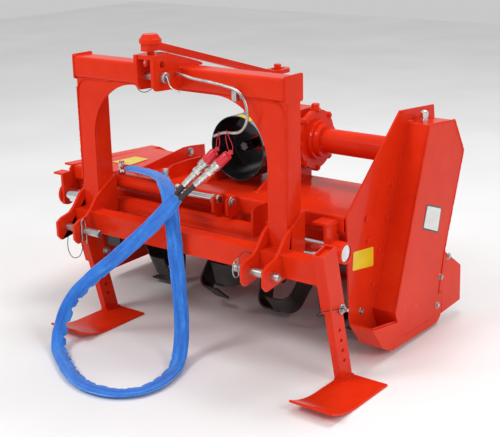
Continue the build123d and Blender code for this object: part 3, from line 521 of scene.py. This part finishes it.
# ---- Welds of the carriage -------------------------------------------------------------
# A fillet of overlapping drops runs along the carriage's joints, as a hand-held torch leaves
# it, under the same enamel.
class Recipe(Tree):
    """A Geometry Nodes tree with named sizes, run on a mesh of points or lines and baked."""

    def __init__(self, name, sizes):
        self.tree = bpy.data.node_groups.new(name, "GeometryNodeTree")
        face = self.tree.interface
        face.new_socket("Geometry", in_out="INPUT", socket_type="NodeSocketGeometry")
        self.inputs = {"Finish": face.new_socket("Finish", in_out="INPUT",
                                                 socket_type="NodeSocketMaterial").identifier}
        for label, size in sizes.items():
            kind = "NodeSocketInt" if isinstance(size, int) else "NodeSocketFloat"
            made = face.new_socket(label, in_out="INPUT", socket_type=kind)
            made.default_value = size
            self.inputs[label] = made.identifier
        face.new_socket("Geometry", in_out="OUTPUT", socket_type="NodeSocketGeometry")
        self.start = self.tree.nodes.new("NodeGroupInput")
        self.sizes = sizes

    def given(self, label):
        """An input of the tree by its name."""
        return Wire(self, self.start.outputs[label])

    def attribute(self, name, kind):
        return self.node("GeometryNodeInputNamedAttribute", {"data_type": kind}, {"Name": name})

    def close(self, geometry):
        """Ends the tree: real faces, then their material."""
        real = self.node("GeometryNodeRealizeInstances", None, {"Geometry": geometry})
        painted = self.node("GeometryNodeSetMaterial", None,
                            {"Geometry": real, "Material": self.given("Finish")})
        end = self.tree.nodes.new("NodeGroupOutput")
        self.join(end.inputs["Geometry"], painted)

    def run(self, name, mesh, finish, body, slot=None, sharp=180, **sizes):
        """Runs the tree on a mesh and shows what it makes as one finished piece."""
        holder = bpy.data.objects.new(name, mesh)
        bpy.context.scene.collection.objects.link(holder)
        modifier = holder.modifiers.new(name, "NODES")
        modifier.node_group = self.tree
        modifier[self.inputs["Finish"]] = finish.material
        for label, size in {**self.sizes, **sizes}.items():
            modifier[self.inputs[label]] = size
        drawn = holder.evaluated_get(bpy.context.evaluated_depsgraph_get())
        baked = bpy.data.meshes.new_from_object(drawn)
        bpy.data.objects.remove(holder)
        baked.shade_smooth()
        baked.set_sharp_from_angle(angle=math.radians(sharp))
        return show(name, baked, finish, body)


bead = Recipe("weld_bead", {"Pitch": 0.0048, "Radius": 0.0044, "Seed": 11})
seam = bead.node("GeometryNodeResampleCurve", {"mode": "LENGTH"}, {
    "Curve": bead.node("GeometryNodeMeshToCurve", None, {"Mesh": bead.given("Geometry")}),
    "Length": bead.given("Pitch")})
drop = bead.node("GeometryNodeMeshUVSphere", None,
                 {"Segments": 8, "Rings": 5, "Radius": bead.given("Radius")})
squat = bead.node("GeometryNodeTransform", None, {"Geometry": drop, "Scale": (1.0, 1.0, 0.72)})
swell = bead.node("FunctionNodeRandomValue", {"data_type": "FLOAT"},
                  {2: 0.82, 3: 1.15, 8: bead.given("Seed")}, output=1)
facing = bead.node("FunctionNodeAlignRotationToVector", {"axis": "Z"},
                   {"Vector": bead.node("GeometryNodeInputTangent")})
bead.close(bead.node("GeometryNodeInstanceOnPoints", None, {
    "Points": seam, "Instance": squat, "Rotation": facing, "Scale": swell}))


def seams(name, body, lines, **sizes):
    """Weld beads along lines of places; a closed line repeats its first place."""
    points, edges = [], []
    for line in lines:
        edges += [(len(points) + step, len(points) + step + 1) for step in range(len(line) - 1)]
        points += [at(*place) for place in line]
    mesh = bpy.data.meshes.new(name)
    mesh.from_pydata(points, edges, [])
    bead.run(name, mesh, red, body, "red_paint", **sizes)


def ring_line(x, y, z, radius, steps=28):
    """Places round a circle that faces across the machine."""
    turns = [2 * math.pi * step / steps for step in range(steps + 1)]
    return [(x, y + radius * math.cos(turn), z + radius * math.sin(turn)) for turn in turns]


LEG_INNER, LEG_OUTER = 397, 473      # the faces of a leg, from the centre plane
CHEEK_INNER, CHEEK_OUTER = 385, 485  # the outward faces of the cheeks beside it
carriage_seams = []
for side in (-1, 1):
    inner, outer = side * LEG_INNER, side * LEG_OUTER
    carriage_seams += [
        [(outer, 98, 945), (outer, 178, 945)], [(inner, 112, 945), (inner, 176, 945)],
        [(outer, 98, 560), (outer, 98, 905)], [(inner, 180, 945), (outer, 180, 945)],
        [(side * 300, 97, 944), (side * 415, 97, 943), (side * 440, 97, 938),
         (side * 456, 97, 928), (side * 466, 97, 912), (side * 470, 97, 896),
         (side * 472, 97, 860)],
        [(outer, 88, 953), (outer, 88, 1013)], [(inner, 98, 450), (outer, 98, 450)],
        [(outer, 88, 1020), (outer, 178, 1020)]]
    for face in (side * CHEEK_INNER, side * CHEEK_OUTER):
        carriage_seams += [[(face, 46, 450), (face, 106, 450)], [(face, 45, 374), (face, 45, 449)],
                           [(face, 110, 525), (face, 185, 566)]]
carriage_seams += [[(-44, 87, 953), (-44, 87, 1020)], [(44, 87, 953), (44, 87, 1020)],
                   [(-44, 88, 1021), (-44, 200, 1021)], [(44, 88, 1021), (44, 200, 1021)],
                   [(-30, -38, 1062), (-30, 50, 1062)], [(30, -38, 1062), (30, 50, 1062)],
                   [(629, 47, 449), (629, 105, 449)], [(629, 46, 373), (629, 46, 449)],
                   [(285, 195, 464), (285, 250, 464)], [(-409, 186, 497), (-409, 186, 565)],
                   ring_line(-425, 225, 532, 26)]
seams("carriage_welds", "hitch_frame", carriage_seams)


# ---- Skids -----------------------------------------------------------------------------
# A flat-bar leg that slides in a leaning socket, welded to a sole with an upturned nose. A pin
# through one of the leg's holes sets the working depth.
cast("skid_left", red)
cast("skid_right", red)
SKID_LEAN = math.radians(14)
for side, x in (("left", -470), ("right", 630)):
    y = 98 + 310 * math.tan(SKID_LEAN)
    seams("skid_welds_" + side, "skid_" + side, [
        [(x + 7, y - 34, 9), (x + 7, y + 36, 9)], [(x + 35, y - 34, 9), (x + 35, y + 36, 9)],
        [(x + 8, y - 35, 9), (x + 34, y - 35, 9)]])


# ---- Hitch pins ------------------------------------------------------------------------
# Turned pins through the lower cheeks and the top-link clevis. A sprung ring or a wire clip
# holds each, and a cord or a steel loop keeps it on the machine.
LOWER_PIN = [(0, 11), (3, 14), (174, 14), (195, 14), (198, 11)]
dark_cord = Finish("black_cord")
fray = dark_cord.noise(700.0, 2.0)
dark_cord.surface(Base_Color=dark_cord.shade(fray, ((0.3, (0.008, 0.008, 0.008)),
                                                    (0.8, (0.035, 0.033, 0.03)))),
                  Roughness=0.6 + 0.2 * fray, Normal=dark_cord.bump(fray, 0.4, 0.0003))
axis_x, axis_z = Vector((1, 0, 0)), Vector((0, 0, 1))
turned("lower_pins_finished", zinc, "hitch_frame", [
    (at(-499, 0, 390), axis_x, LOWER_PIN, 36),
    (at(331, 0, 390), axis_x, [(0, 11), (3, 14), (160, 14), (178, 14), (182, 10)], 36)],
    ["lower_hitch_pins"])
turned("top_pin_finished", zinc, "hitch_frame", [
    (at(-62, 0, 1000), axis_x, [(0, 9.5), (3, 12.5), (105.5, 12.5), (106, 17.5), (108, 19),
                                (120, 19), (122, 17)], 36)], ["top_link_pin"])
bent("pin_clips", zinc, "hitch_frame", [
    [(-377, 4, 338), (-377, 4, 372), (-377, 2, 392), (-377, 2, 424), (-377, -8, 438),
     (-377, -20, 428), (-377, -16, 408), (-377, -19, 396), (-377, -17, 376), (-377, -19, 352)],
    [(343, 2, 424), (343, 2, 404), (343, 2, 376), (343, 2, 358)],
    [(343, 2, 420), (343, -22, 420), (343, -30, 390), (343, -22, 362), (343, 0, 358),
     (343, 14, 364), (343, 20, 380)],
    [(-55, 0, 1026), (-55, 0, 1008), (-55, 0, 980), (-55, 0, 968)],
    [(-55, 0, 1024), (-55, -20, 1022), (-55, -27, 1000), (-55, -20, 974), (-55, 0, 968),
     (-55, 12, 974), (-55, 17, 988)],
    [(56, 0, 1006), (66, -2, 1000), (74, -6, 986), (80, -8, 974), (98, -8, 966), (122, -8, 962)],
    ], 2.4)
tether("pin_cord_left", dark_cord, "hitch_frame",
       [(-377, 2, 436), (-366, -6, 448), (-350, 10, 440), (-340, 24, 400), (-332, 20, 352),
        (-318, 8, 340), (-305, 4, 356), (-301, 3, 384)], 1.2)
tether("pin_cord_right", dark_cord, "hitch_frame",
       [(343, 2, 424), (350, 8, 440), (362, 26, 446), (374, 44, 430), (384, 44, 412)], 1.2)
tether("clip_cord_left", dark_cord, "hitch_frame",
       [(-377, -17, 338), (-380, -22, 306), (-402, -26, 284), (-436, -24, 280), (-462, -16, 304),
        (-470, -8, 336), (-474, 4, 362)], 1.5)
tether("skid_pin_cord", dark_cord, "hitch_frame",
       [(676, 128, 276), (686, 118, 286), (688, 96, 292), (668, 62, 292), (640, 48, 284),
        (618, 56, 266), (616, 78, 250), (628, 92, 262)], 1.6)
tether("pin_cord_top", dark_cord, "hitch_frame",
       [(-55, 0, 1026), (-64, -14, 1034), (-72, -18, 1000), (-66, -10, 950), (-52, 10, 938),
        (-44, 40, 948), (-44, 60, 962)], 1.3)


# ---- Cylinder, rail and brackets -------------------------------------------------------
# The side-shift cylinder is red like the frame; its rod and the rail are ground, chromed bar,
# and a bracket at each corner of the hood holds the rail.
chrome = Finish("hard_chrome", Metallic=1.0)
haze = chrome.noise(26.0, 4.0)
chrome.surface(Base_Color=chrome.shade(haze, ((0.3, (0.62, 0.63, 0.65)),
                                              (0.7, (0.80, 0.81, 0.82)))),
               Roughness=0.08 + 0.14 * haze, Normal=chrome.bump(haze, 0.06, 0.0003))
for name in ("cylinder_barrel", "port_fittings", "rod_clevis", "rail_bracket_left",
             "rail_bracket_right"):
    cast(name, red)
cast("slide_rail", chrome, 1.5)
cast("cylinder_rod", chrome, 1.5)
turned("cylinder_gland", nickel, "hitch_frame", [
    (at(-112, 225, 532), axis_x, [(0, 26.4), (1, 28), (7, 28), (8, 26.2), (17, 26), (18, 22),
                                  (22, 22), (23, 14), (23.5, 12.8)], 40),
    (at(-172, 231, 563), axis_z, [(0, 15), (12, 15), (13, 10.8), (20, 10.8), (21, 13), (40, 13),
                                  (43.4, 11)], 6),
    (at(-398, 231, 563), axis_z, [(0, 15), (12, 15), (13, 11.5), (34, 11.5), (43.4, 10)], 6),
    (at(-396, 230, 584), axis_x, [(0, 11), (1, 12), (11, 12), (12, 11)], 6)])
turned("cylinder_rod_eye", zinc, "tiller", [
    (at(56, 225, 532), axis_x, [(0, 13), (1, 18), (12, 18), (13, 16)], 6),
    (at(80, 225, 532), axis_x, [(0, 13), (1, 17), (11, 17), (12, 14)], 6)])


# ---- Tiller body -----------------------------------------------------------------------
# The hood is one bent sheet between two side plates, with a board behind that levels the soil.
# All of it is sheet steel in the same enamel, and the board swings on a zinc-plated rod.
for name in ("hood", "side_plate_left", "side_plate_right", "levelling_board", "bearing_hub"):
    cast(name, red, 1.0, 14 if name.startswith("side") else 28)
cast("board_rod", zinc, 1.0)


# ---- Hood ribs -------------------------------------------------------------------------
# Two low plates stand on edge on the left of the hood and stiffen its sheet. They are cut from
# 8 mm plate, tacked down, and carry the same enamel.
RIB_THICK = 8
RIB_FAR = (-404, [(300, 536), (322, 552), (600, 586), (640, 584), (731, 574), (733, 517)])
RIB_NEAR = (-244, [(268, 538), (282, 556), (345, 588), (420, 590), (520, 586), (600, 540),
                   (600, 524)])
shape = bmesh.new()
for low, outline in (RIB_FAR, RIB_NEAR):
    first = [shape.verts.new(at(low, y, z)) for y, z in outline]
    last = [shape.verts.new(at(low + RIB_THICK, y, z)) for y, z in outline]
    shape.faces.new(first)
    shape.faces.new(last[::-1])
    for index in range(len(outline)):
        after = (index + 1) % len(outline)
        shape.faces.new((first[index], last[index], last[after], first[after]))
bmesh.ops.recalc_face_normals(shape, faces=shape.faces)
bmesh.ops.bevel(shape, geom=list(shape.edges), offset=0.0015, segments=2, affect="EDGES")
ribs = finished_mesh(shape, "hood_ribs")
ribs.shade_smooth()
ribs.set_sharp_from_angle(angle=math.radians(35))
show("hood_ribs", ribs, red, "tiller")


# ---- Bolts -----------------------------------------------------------------------------
# Hexagon bolts with washers hold what comes off for repair. Those put in before spraying are
# red, the rest zinc-plated.
bolt = Recipe("hex_bolt", {"Width": 0.017, "Height": 0.0075, "Washer": 0.028, "Stub": 0.0,
                           "Seed": 5})


def step_of_bolt(sides, low, high, depth, lift):
    """One turned or six-sided step of the bolt, standing lift above its seat."""
    form = bolt.node("GeometryNodeMeshCone", None, {
        "Vertices": sides, "Radius Bottom": low, "Radius Top": high, "Depth": depth})
    return bolt.node("GeometryNodeTransform", None, {
        "Geometry": form, "Translation": bolt.node("ShaderNodeCombineXYZ", None, {"Z": lift})})


width, height, washer = bolt.given("Width"), bolt.given("Height"), bolt.given("Washer")
CORNER = 0.577  # half the width over the corners, for a width of one over the flats
whole = bolt.node("GeometryNodeJoinGeometry", None, {"Geometry": [
    step_of_bolt(24, washer * 0.5, washer * 0.48, height * 0.24, 0.0),
    step_of_bolt(6, width * CORNER, width * CORNER, height * 0.72, height * 0.22),
    step_of_bolt(6, width * CORNER, width * 0.47, height * 0.14, height * 0.93),
    step_of_bolt(12, width * 0.28, width * 0.25, bolt.given("Stub") + 0.0004, height)]})
spin = bolt.node("FunctionNodeAxisAngleToRotation", None, {
    "Axis": (0.0, 0.0, 1.0),
    "Angle": bolt.node("FunctionNodeRandomValue", {"data_type": "FLOAT"},
                       {2: 0.0, 3: 1.05, 8: bolt.given("Seed")}, output=1)})
stand = bolt.node("FunctionNodeAlignRotationToVector", {"axis": "Z"},
                  {"Vector": bolt.attribute("axis", "FLOAT_VECTOR")})
bolt.close(bolt.node("GeometryNodeInstanceOnPoints", None, {
    "Points": bolt.given("Geometry"), "Instance": whole,
    "Rotation": bolt.node("FunctionNodeRotateRotation", {"rotation_space": "LOCAL"},
                          {"Rotation": stand, "Rotate By": spin}),
    "Scale": bolt.attribute("size", "FLOAT")}))


def bolts(name, finish, body, slot, spots, **sizes):
    """Bolts at spots, each (place, way that it points, size)."""
    mesh = bpy.data.meshes.new(name)
    mesh.from_pydata([at(*spot[0]) for spot in spots], [], [])
    mesh.attributes.new("axis", "FLOAT_VECTOR", "POINT")
    mesh.attributes.new("size", "FLOAT", "POINT")
    for index, (_, way, size) in enumerate(spots):
        mesh.attributes["axis"].data[index].vector = way
        mesh.attributes["size"].data[index].value = size
    bolt.run(name, mesh, finish, body, slot, 30, **sizes)


# Across, and then rearward and up: the drive's input, its axle and the rotor's axis
INPUT_X, AXLE_Y, AXLE_Z = 35, 691, 677
ROTOR_Y, ROTOR_Z = 565, 249
WALL_X, CASE_X = 598, 693  # the outer faces of the case's wall and of the case
out_x, out_left = (1, 0, 0), (-1, 0, 0)
red_spots = [((WALL_X, y, z), out_x, 1.0) for y, z in
             ((561, 589), (530, 475), (479, 366), (441, 253), (394, 503), (403, 421))]
for step in range(8):
    turn = math.radians(45 * step)
    place = (INPUT_X + 166, AXLE_Y + 112 * math.cos(turn), AXLE_Z + 112 * math.sin(turn))
    red_spots.append((place, out_x, 0.95))
for step in range(6):
    turn = math.radians(60 * step + 30)
    place = (-708, ROTOR_Y + 72 * math.cos(turn), ROTOR_Z + 72 * math.sin(turn))
    red_spots.append((place, out_left, 0.8))
bolts("body_bolts_painted", red, "tiller", "red_paint", red_spots)
zinc_spots = [((WALL_X, 369, 170), out_x, 1.0)]
zinc_spots += [((CASE_X, y, z), out_x, 1.0) for y, z in ((840, 258), (782, 191), (762, 84))]
zinc_spots += [((144, 225, 532), out_x, 1.3)]
zinc_spots += [((-396, 634, 560), out_x, 1.3), ((-236, 300, 562), out_x, 0.6)]
for x, way in ((-89, out_left), (159, out_x)):
    zinc_spots += [((x, y, 580), way, 0.9) for y in (470, 620)]
bolts("body_bolts_plated", zinc, "tiller", "zinc", zinc_spots)
bolts("carriage_bolts", zinc, "hitch_frame", "zinc", [
    ((672, 128, 276), out_x, 1.25), ((-428, 150, 262), out_x, 1.2)], Stub=0.010)


# ---- Rotor -----------------------------------------------------------------------------
# Curved blades of hardened boron steel in satin black, each on two bolts through a flange of
# the dark red tube shaft, facing left and right in turn.
tine = Finish("tine_black")
soot = tine.noise(14.0, 6.0)
grit = tine.noise(190.0, 3.0)
tine.surface(Base_Color=tine.shade(soot, ((0.35, (0.006, 0.006, 0.007)),
                                          (0.62, (0.018, 0.017, 0.016)),
                                          (0.8, (0.045, 0.040, 0.036)))),
             Roughness=0.30 + 0.25 * grit, Normal=tine.bump(grit + soot, 0.25, 0.0008))
shaft_red = Finish("shaft_red")
mist = shaft_red.noise(7.0, 4.0)
shaft_red.surface(Base_Color=shaft_red.shade(mist, ((0.3, (0.12, 0.008, 0.005)),
                                                    (0.7, (0.26, 0.014, 0.008)))),
                  Roughness=0.4 + 0.2 * mist, Normal=shaft_red.bump(mist, 0.2, 0.001))
cast("rotor_blades", tine, 1.6, 22)
cast("rotor_shaft", shaft_red, 1.2)
FLANGES = (-640, -406, -172, 62, 296, 530)
STAGGER = 25  # degrees from a flange to the next
OUTWARD = {0: -1, 5: 1}  # the end flanges have no blades on this side
blade_spots = []
for row, x in enumerate(FLANGES):
    for step in range(6):
        hand = 1 if step % 2 else -1
        if hand == OUTWARD.get(row):
            continue
        turn = math.radians(row * STAGGER + step * 60)
        out = Vector((0, math.cos(turn), math.sin(turn)))
        for reach, side in ((62, 20), (74, -20)):
            place = (Vector((x + hand * 13, ROTOR_Y, ROTOR_Z)) + out * reach
                     + out.cross(axis_x) * side)
            blade_spots.append((tuple(place), (hand, 0, 0), 0.95))
bolts("blade_bolts", zinc, "rotor", "zinc", blade_spots, Stub=0.005)


# ---- Gearbox and drive -----------------------------------------------------------------
# A cast-iron bevel box on two plate bearers. Its output runs to the chain case inside a tube,
# and its input is a splined stub in a moulded black shield.
for name in ("gearbox", "gearbox_bearers", "axle_tube"):
    cast(name, red, 2.0 if name == "gearbox" else 1.2, 30)
moulded = Finish("black_moulding", Coat_Roughness=0.1)
sheen = moulded.noise(9.0, 3.0)
moulded.surface(Base_Color=moulded.shade(sheen, ((0.3, (0.006, 0.006, 0.007)),
                                                 (0.8, (0.02, 0.02, 0.022)))),
                Roughness=0.16 + 0.18 * sheen, Coat_Weight=0.4,
                Normal=moulded.bump(sheen, 0.12, 0.0015))
cast("pto_shield", moulded, 1.6)
SPLINE_TOP, SPLINE_ROOT = 17.4, 14.4
spline_ring = []
for step in range(72):
    turn = 2 * math.pi * step / 72
    radius = (SPLINE_TOP if step % 12 < 6 else SPLINE_ROOT) / 1000
    spline_ring.append((radius * math.cos(turn), radius * math.sin(turn)))


def spline_section(along, part):
    """Six splines, turned down at the tip and in the groove that locks the yoke."""
    cut = 0.9 if part < 0.02 or 0.28 < part < 0.36 else 1
    return [(a * cut, b * cut) for a, b in spline_ring]


shape = bmesh.new()
tube(shape, [at(INPUT_X, 443 + 1.4 * step, AXLE_Z) for step in range(59)], spline_section)
lathe(shape, at(INPUT_X, 524.2, AXLE_Z), Vector((0, 1, 0)),
      [(0, 19), (2, 21), (100, 21), (102, 20)], 36)
splined = finished_mesh(shape, "pto_stub")
splined.set_sharp_from_angle(angle=math.radians(28))
greased = Finish("greased_steel", Metallic=1.0)
film = greased.noise(30.0, 4.0)
greased.surface(Base_Color=greased.shade(film, ((0.3, (0.06, 0.055, 0.05)),
                                                (0.8, (0.17, 0.16, 0.15)))),
                Roughness=0.24 + 0.2 * film, Normal=greased.bump(film, 0.2, 0.0005))
show("pto_stub_finished", splined, greased, "pto_shaft", ["pto_stub"])
turned("gearbox_plugs", red, "tiller", [
    (at(INPUT_X, 748, 788), axis_z, [(0, 17), (7, 17), (8, 13), (20, 13), (22, 10)], 6),
    (at(190, AXLE_Y, 789), axis_z, [(0, 21), (6, 21), (7, 16), (24, 16), (26, 13)], 6)])


# ---- Chain case ------------------------------------------------------------------------
# A welded box that leans back from the axle tube to the rotor, with a shoe round its foot and
# a wing behind that keeps the soil in.
cast("drive_case", red, 1.6, 5)
cast("guard_shoe", red, 1.2, 16)
cast("rear_wing", red, 1.2, 14)
CASE = [(445, 158), (657, 795), (849, 779), (931, 650), (806, 289), (753, 48), (495, 48)]
body_seams = [
    [(599, y, z) for y, z in CASE[:4]], [(692, y, z) for y, z in CASE[:5]],
    ring_line(589, AXLE_Y, AXLE_Z, 48), ring_line(244, AXLE_Y, AXLE_Z, 48),
    [(CASE_X, 806, 289), (CASE_X, 770, 130)], [(685, 300, 146), (685, 464, 118)],
    ring_line(-709, ROTOR_Y, ROTOR_Z, 56), ring_line(566, 232, 428, 38),
    [(566, 197, 520), (566, 262, 520)]]
for x in (-90, -79, 148, 160):
    body_seams.append([(x, y, 541 - 24 * (y - 262) / 471) for y in (352, 710)])
for x in (69, 81, 133, 145):
    body_seams.append([(x, 261, 476), (x, 261, 540)])
seams("body_welds", "tiller", body_seams)
turned("case_breather", nickel, "tiller", [
    (at(650, 697, 792), axis_z, [(0, 13), (14, 13), (15, 9), (20, 9), (21, 14), (38, 14),
                                 (42, 11), (45, 6)], 12)])


# ---- Stay ------------------------------------------------------------------------------
# A flat bar from the knob on the top-link clevis to the post on the gearbox, which steadies the
# body as it moves across.
for name in ("stay_bar", "stay_post", "stay_knob"):
    cast(name, red, 1.5)


# ---- Blank labels ----------------------------------------------------------------------
# Printed film and one white plate, left blank, stuck on the case, the shield and the hood.
FILM_THICK = 0.0006
FILM_YELLOW = (0.86, 0.62, 0.015)


def label(name, colour, quads, corner_radius=0.005):
    """Thin blank film on flat places; each quad's corners run anticlockwise from outside."""
    film = Finish(name, Coat_Roughness=0.08)
    wear = film.noise(24.0, 3.0)
    worn = tuple(c * 0.86 for c in colour)
    film.surface(Base_Color=film.shade(wear, ((0.3, worn), (0.7, colour))),
                 Roughness=0.28 + 0.15 * wear, Coat_Weight=0.3,
                 Normal=film.bump(wear, 0.06, 0.0006))
    shape = bmesh.new()
    for quad in quads:
        corners = [at(*corner) for corner in quad]
        normal = (corners[1] - corners[0]).cross(corners[3] - corners[0]).normalized()
        outline = []
        for index, corner in enumerate(corners):
            before = (corners[index - 1] - corner).normalized()
            after = (corners[(index + 1) % 4] - corner).normalized()
            for step in range(5 if corner_radius else 1):
                turn = math.pi / 2 * step / 4
                outline.append(corner + corner_radius * (before * (1 - math.sin(turn))
                                                         + after * (1 - math.cos(turn))))
        low = [shape.verts.new(place) for place in outline]
        high = [shape.verts.new(place + normal * FILM_THICK) for place in outline]
        shape.faces.new(high)
        shape.faces.new(low[::-1])
        for index in range(len(low)):
            after = (index + 1) % len(low)
            shape.faces.new((low[index], low[after], high[after], high[index]))
    show(name, finished_mesh(shape, name), film, "tiller")


def band(name, colour, start, end):
    """A film round the shield's rim, between two angles from the chain-case side up."""
    radius, front_edge, rear_edge, steps = 122.2, 404, 434, 12
    rim = []
    for step in range(steps + 1):
        turn = math.radians(start + (end - start) * step / steps)
        rim.append((INPUT_X + radius * math.cos(turn), AXLE_Z + radius * math.sin(turn)))
    label(name, colour, [
        [(a, front_edge, b), (a, rear_edge, b), (c, rear_edge, d), (c, front_edge, d)]
        for (a, b), (c, d) in zip(rim, rim[1:])], 0.0)


band("shield_label_yellow", FILM_YELLOW, 62, 92)
band("shield_label_grey", (0.28, 0.34, 0.42), 12, 61)
label("yellow_label", FILM_YELLOW, [
    [(598.2, 314, 405), (598.2, 309, 338), (598.2, 447, 317), (598.2, 445, 388)]])
label("hood_label", (0.80, 0.62, 0.02), [
    [(-620, 400, 535.6), (-519, 400, 535.6), (-545, 540, 528.6), (-620, 540, 528.6)]])
label("plate_rim", (0.02, 0.02, 0.022), [
    [(693.1, 654, 508), (693.1, 625, 421), (693.1, 748, 373), (693.1, 771, 467)]])
label("white_plate", (0.80, 0.80, 0.78), [
    [(693.8, 659, 500), (693.8, 633, 425), (693.8, 743, 382), (693.8, 763, 464)]])


# ---- Floor and light -------------------------------------------------------------------
# One pale sheet of floor in a white room. Three soft boxes hang over it: the key at the front
# left, a fill on the chain-case side and one above and behind.
FLOOR_HALF = 9
ROOM_BRIGHTNESS = 0.58
floor_mesh = bpy.data.meshes.new("floor")
floor_mesh.from_pydata([(x * FLOOR_HALF, y * FLOOR_HALF, 0)
                        for x, y in ((-1, -1), (1, -1), (1, 1), (-1, 1))], [], [(0, 1, 2, 3)])
floor = bpy.data.objects.new("floor", floor_mesh)
bpy.context.scene.collection.objects.link(floor)
pale = Finish("pale_floor")
cloud = pale.noise(1.2, 2.0)
pale.surface(Base_Color=pale.shade(cloud, ((0.3, (0.86, 0.86, 0.86)), (0.7, (0.92, 0.92, 0.92)))),
             Roughness=0.55 + 0.1 * cloud)
floor_mesh.materials.append(pale.material)
world = bpy.data.worlds.new("room")
bpy.context.scene.world = world
world.use_nodes = True
background = world.node_tree.nodes["Background"]
background.inputs["Color"].default_value = (1.0, 1.0, 1.0, 1)
background.inputs["Strength"].default_value = ROOM_BRIGHTNESS
for name, place, aim, power, size in (("soft_key", (-1.6, -4.2, 4.6), (0, 0, 0.4), 118, 1.6),
                                      ("soft_side", (4.6, -1.2, 3.0), (0, 0, 0.5), 52, 1.5),
                                      ("soft_top", (0.4, 1.8, 5.2), (0, 0, 0.3), 112, 2.2)):
    light = bpy.data.lights.new(name, "AREA")
    light.energy = power
    light.size = size
    lamp = bpy.data.objects.new(name, light)
    bpy.context.scene.collection.objects.link(lamp)
    lamp.location = place
    lamp.rotation_euler = (Vector(aim) - Vector(place)).to_track_quat("-Z", "Y").to_euler()
bpy.context.scene.view_settings.view_transform = "Standard"
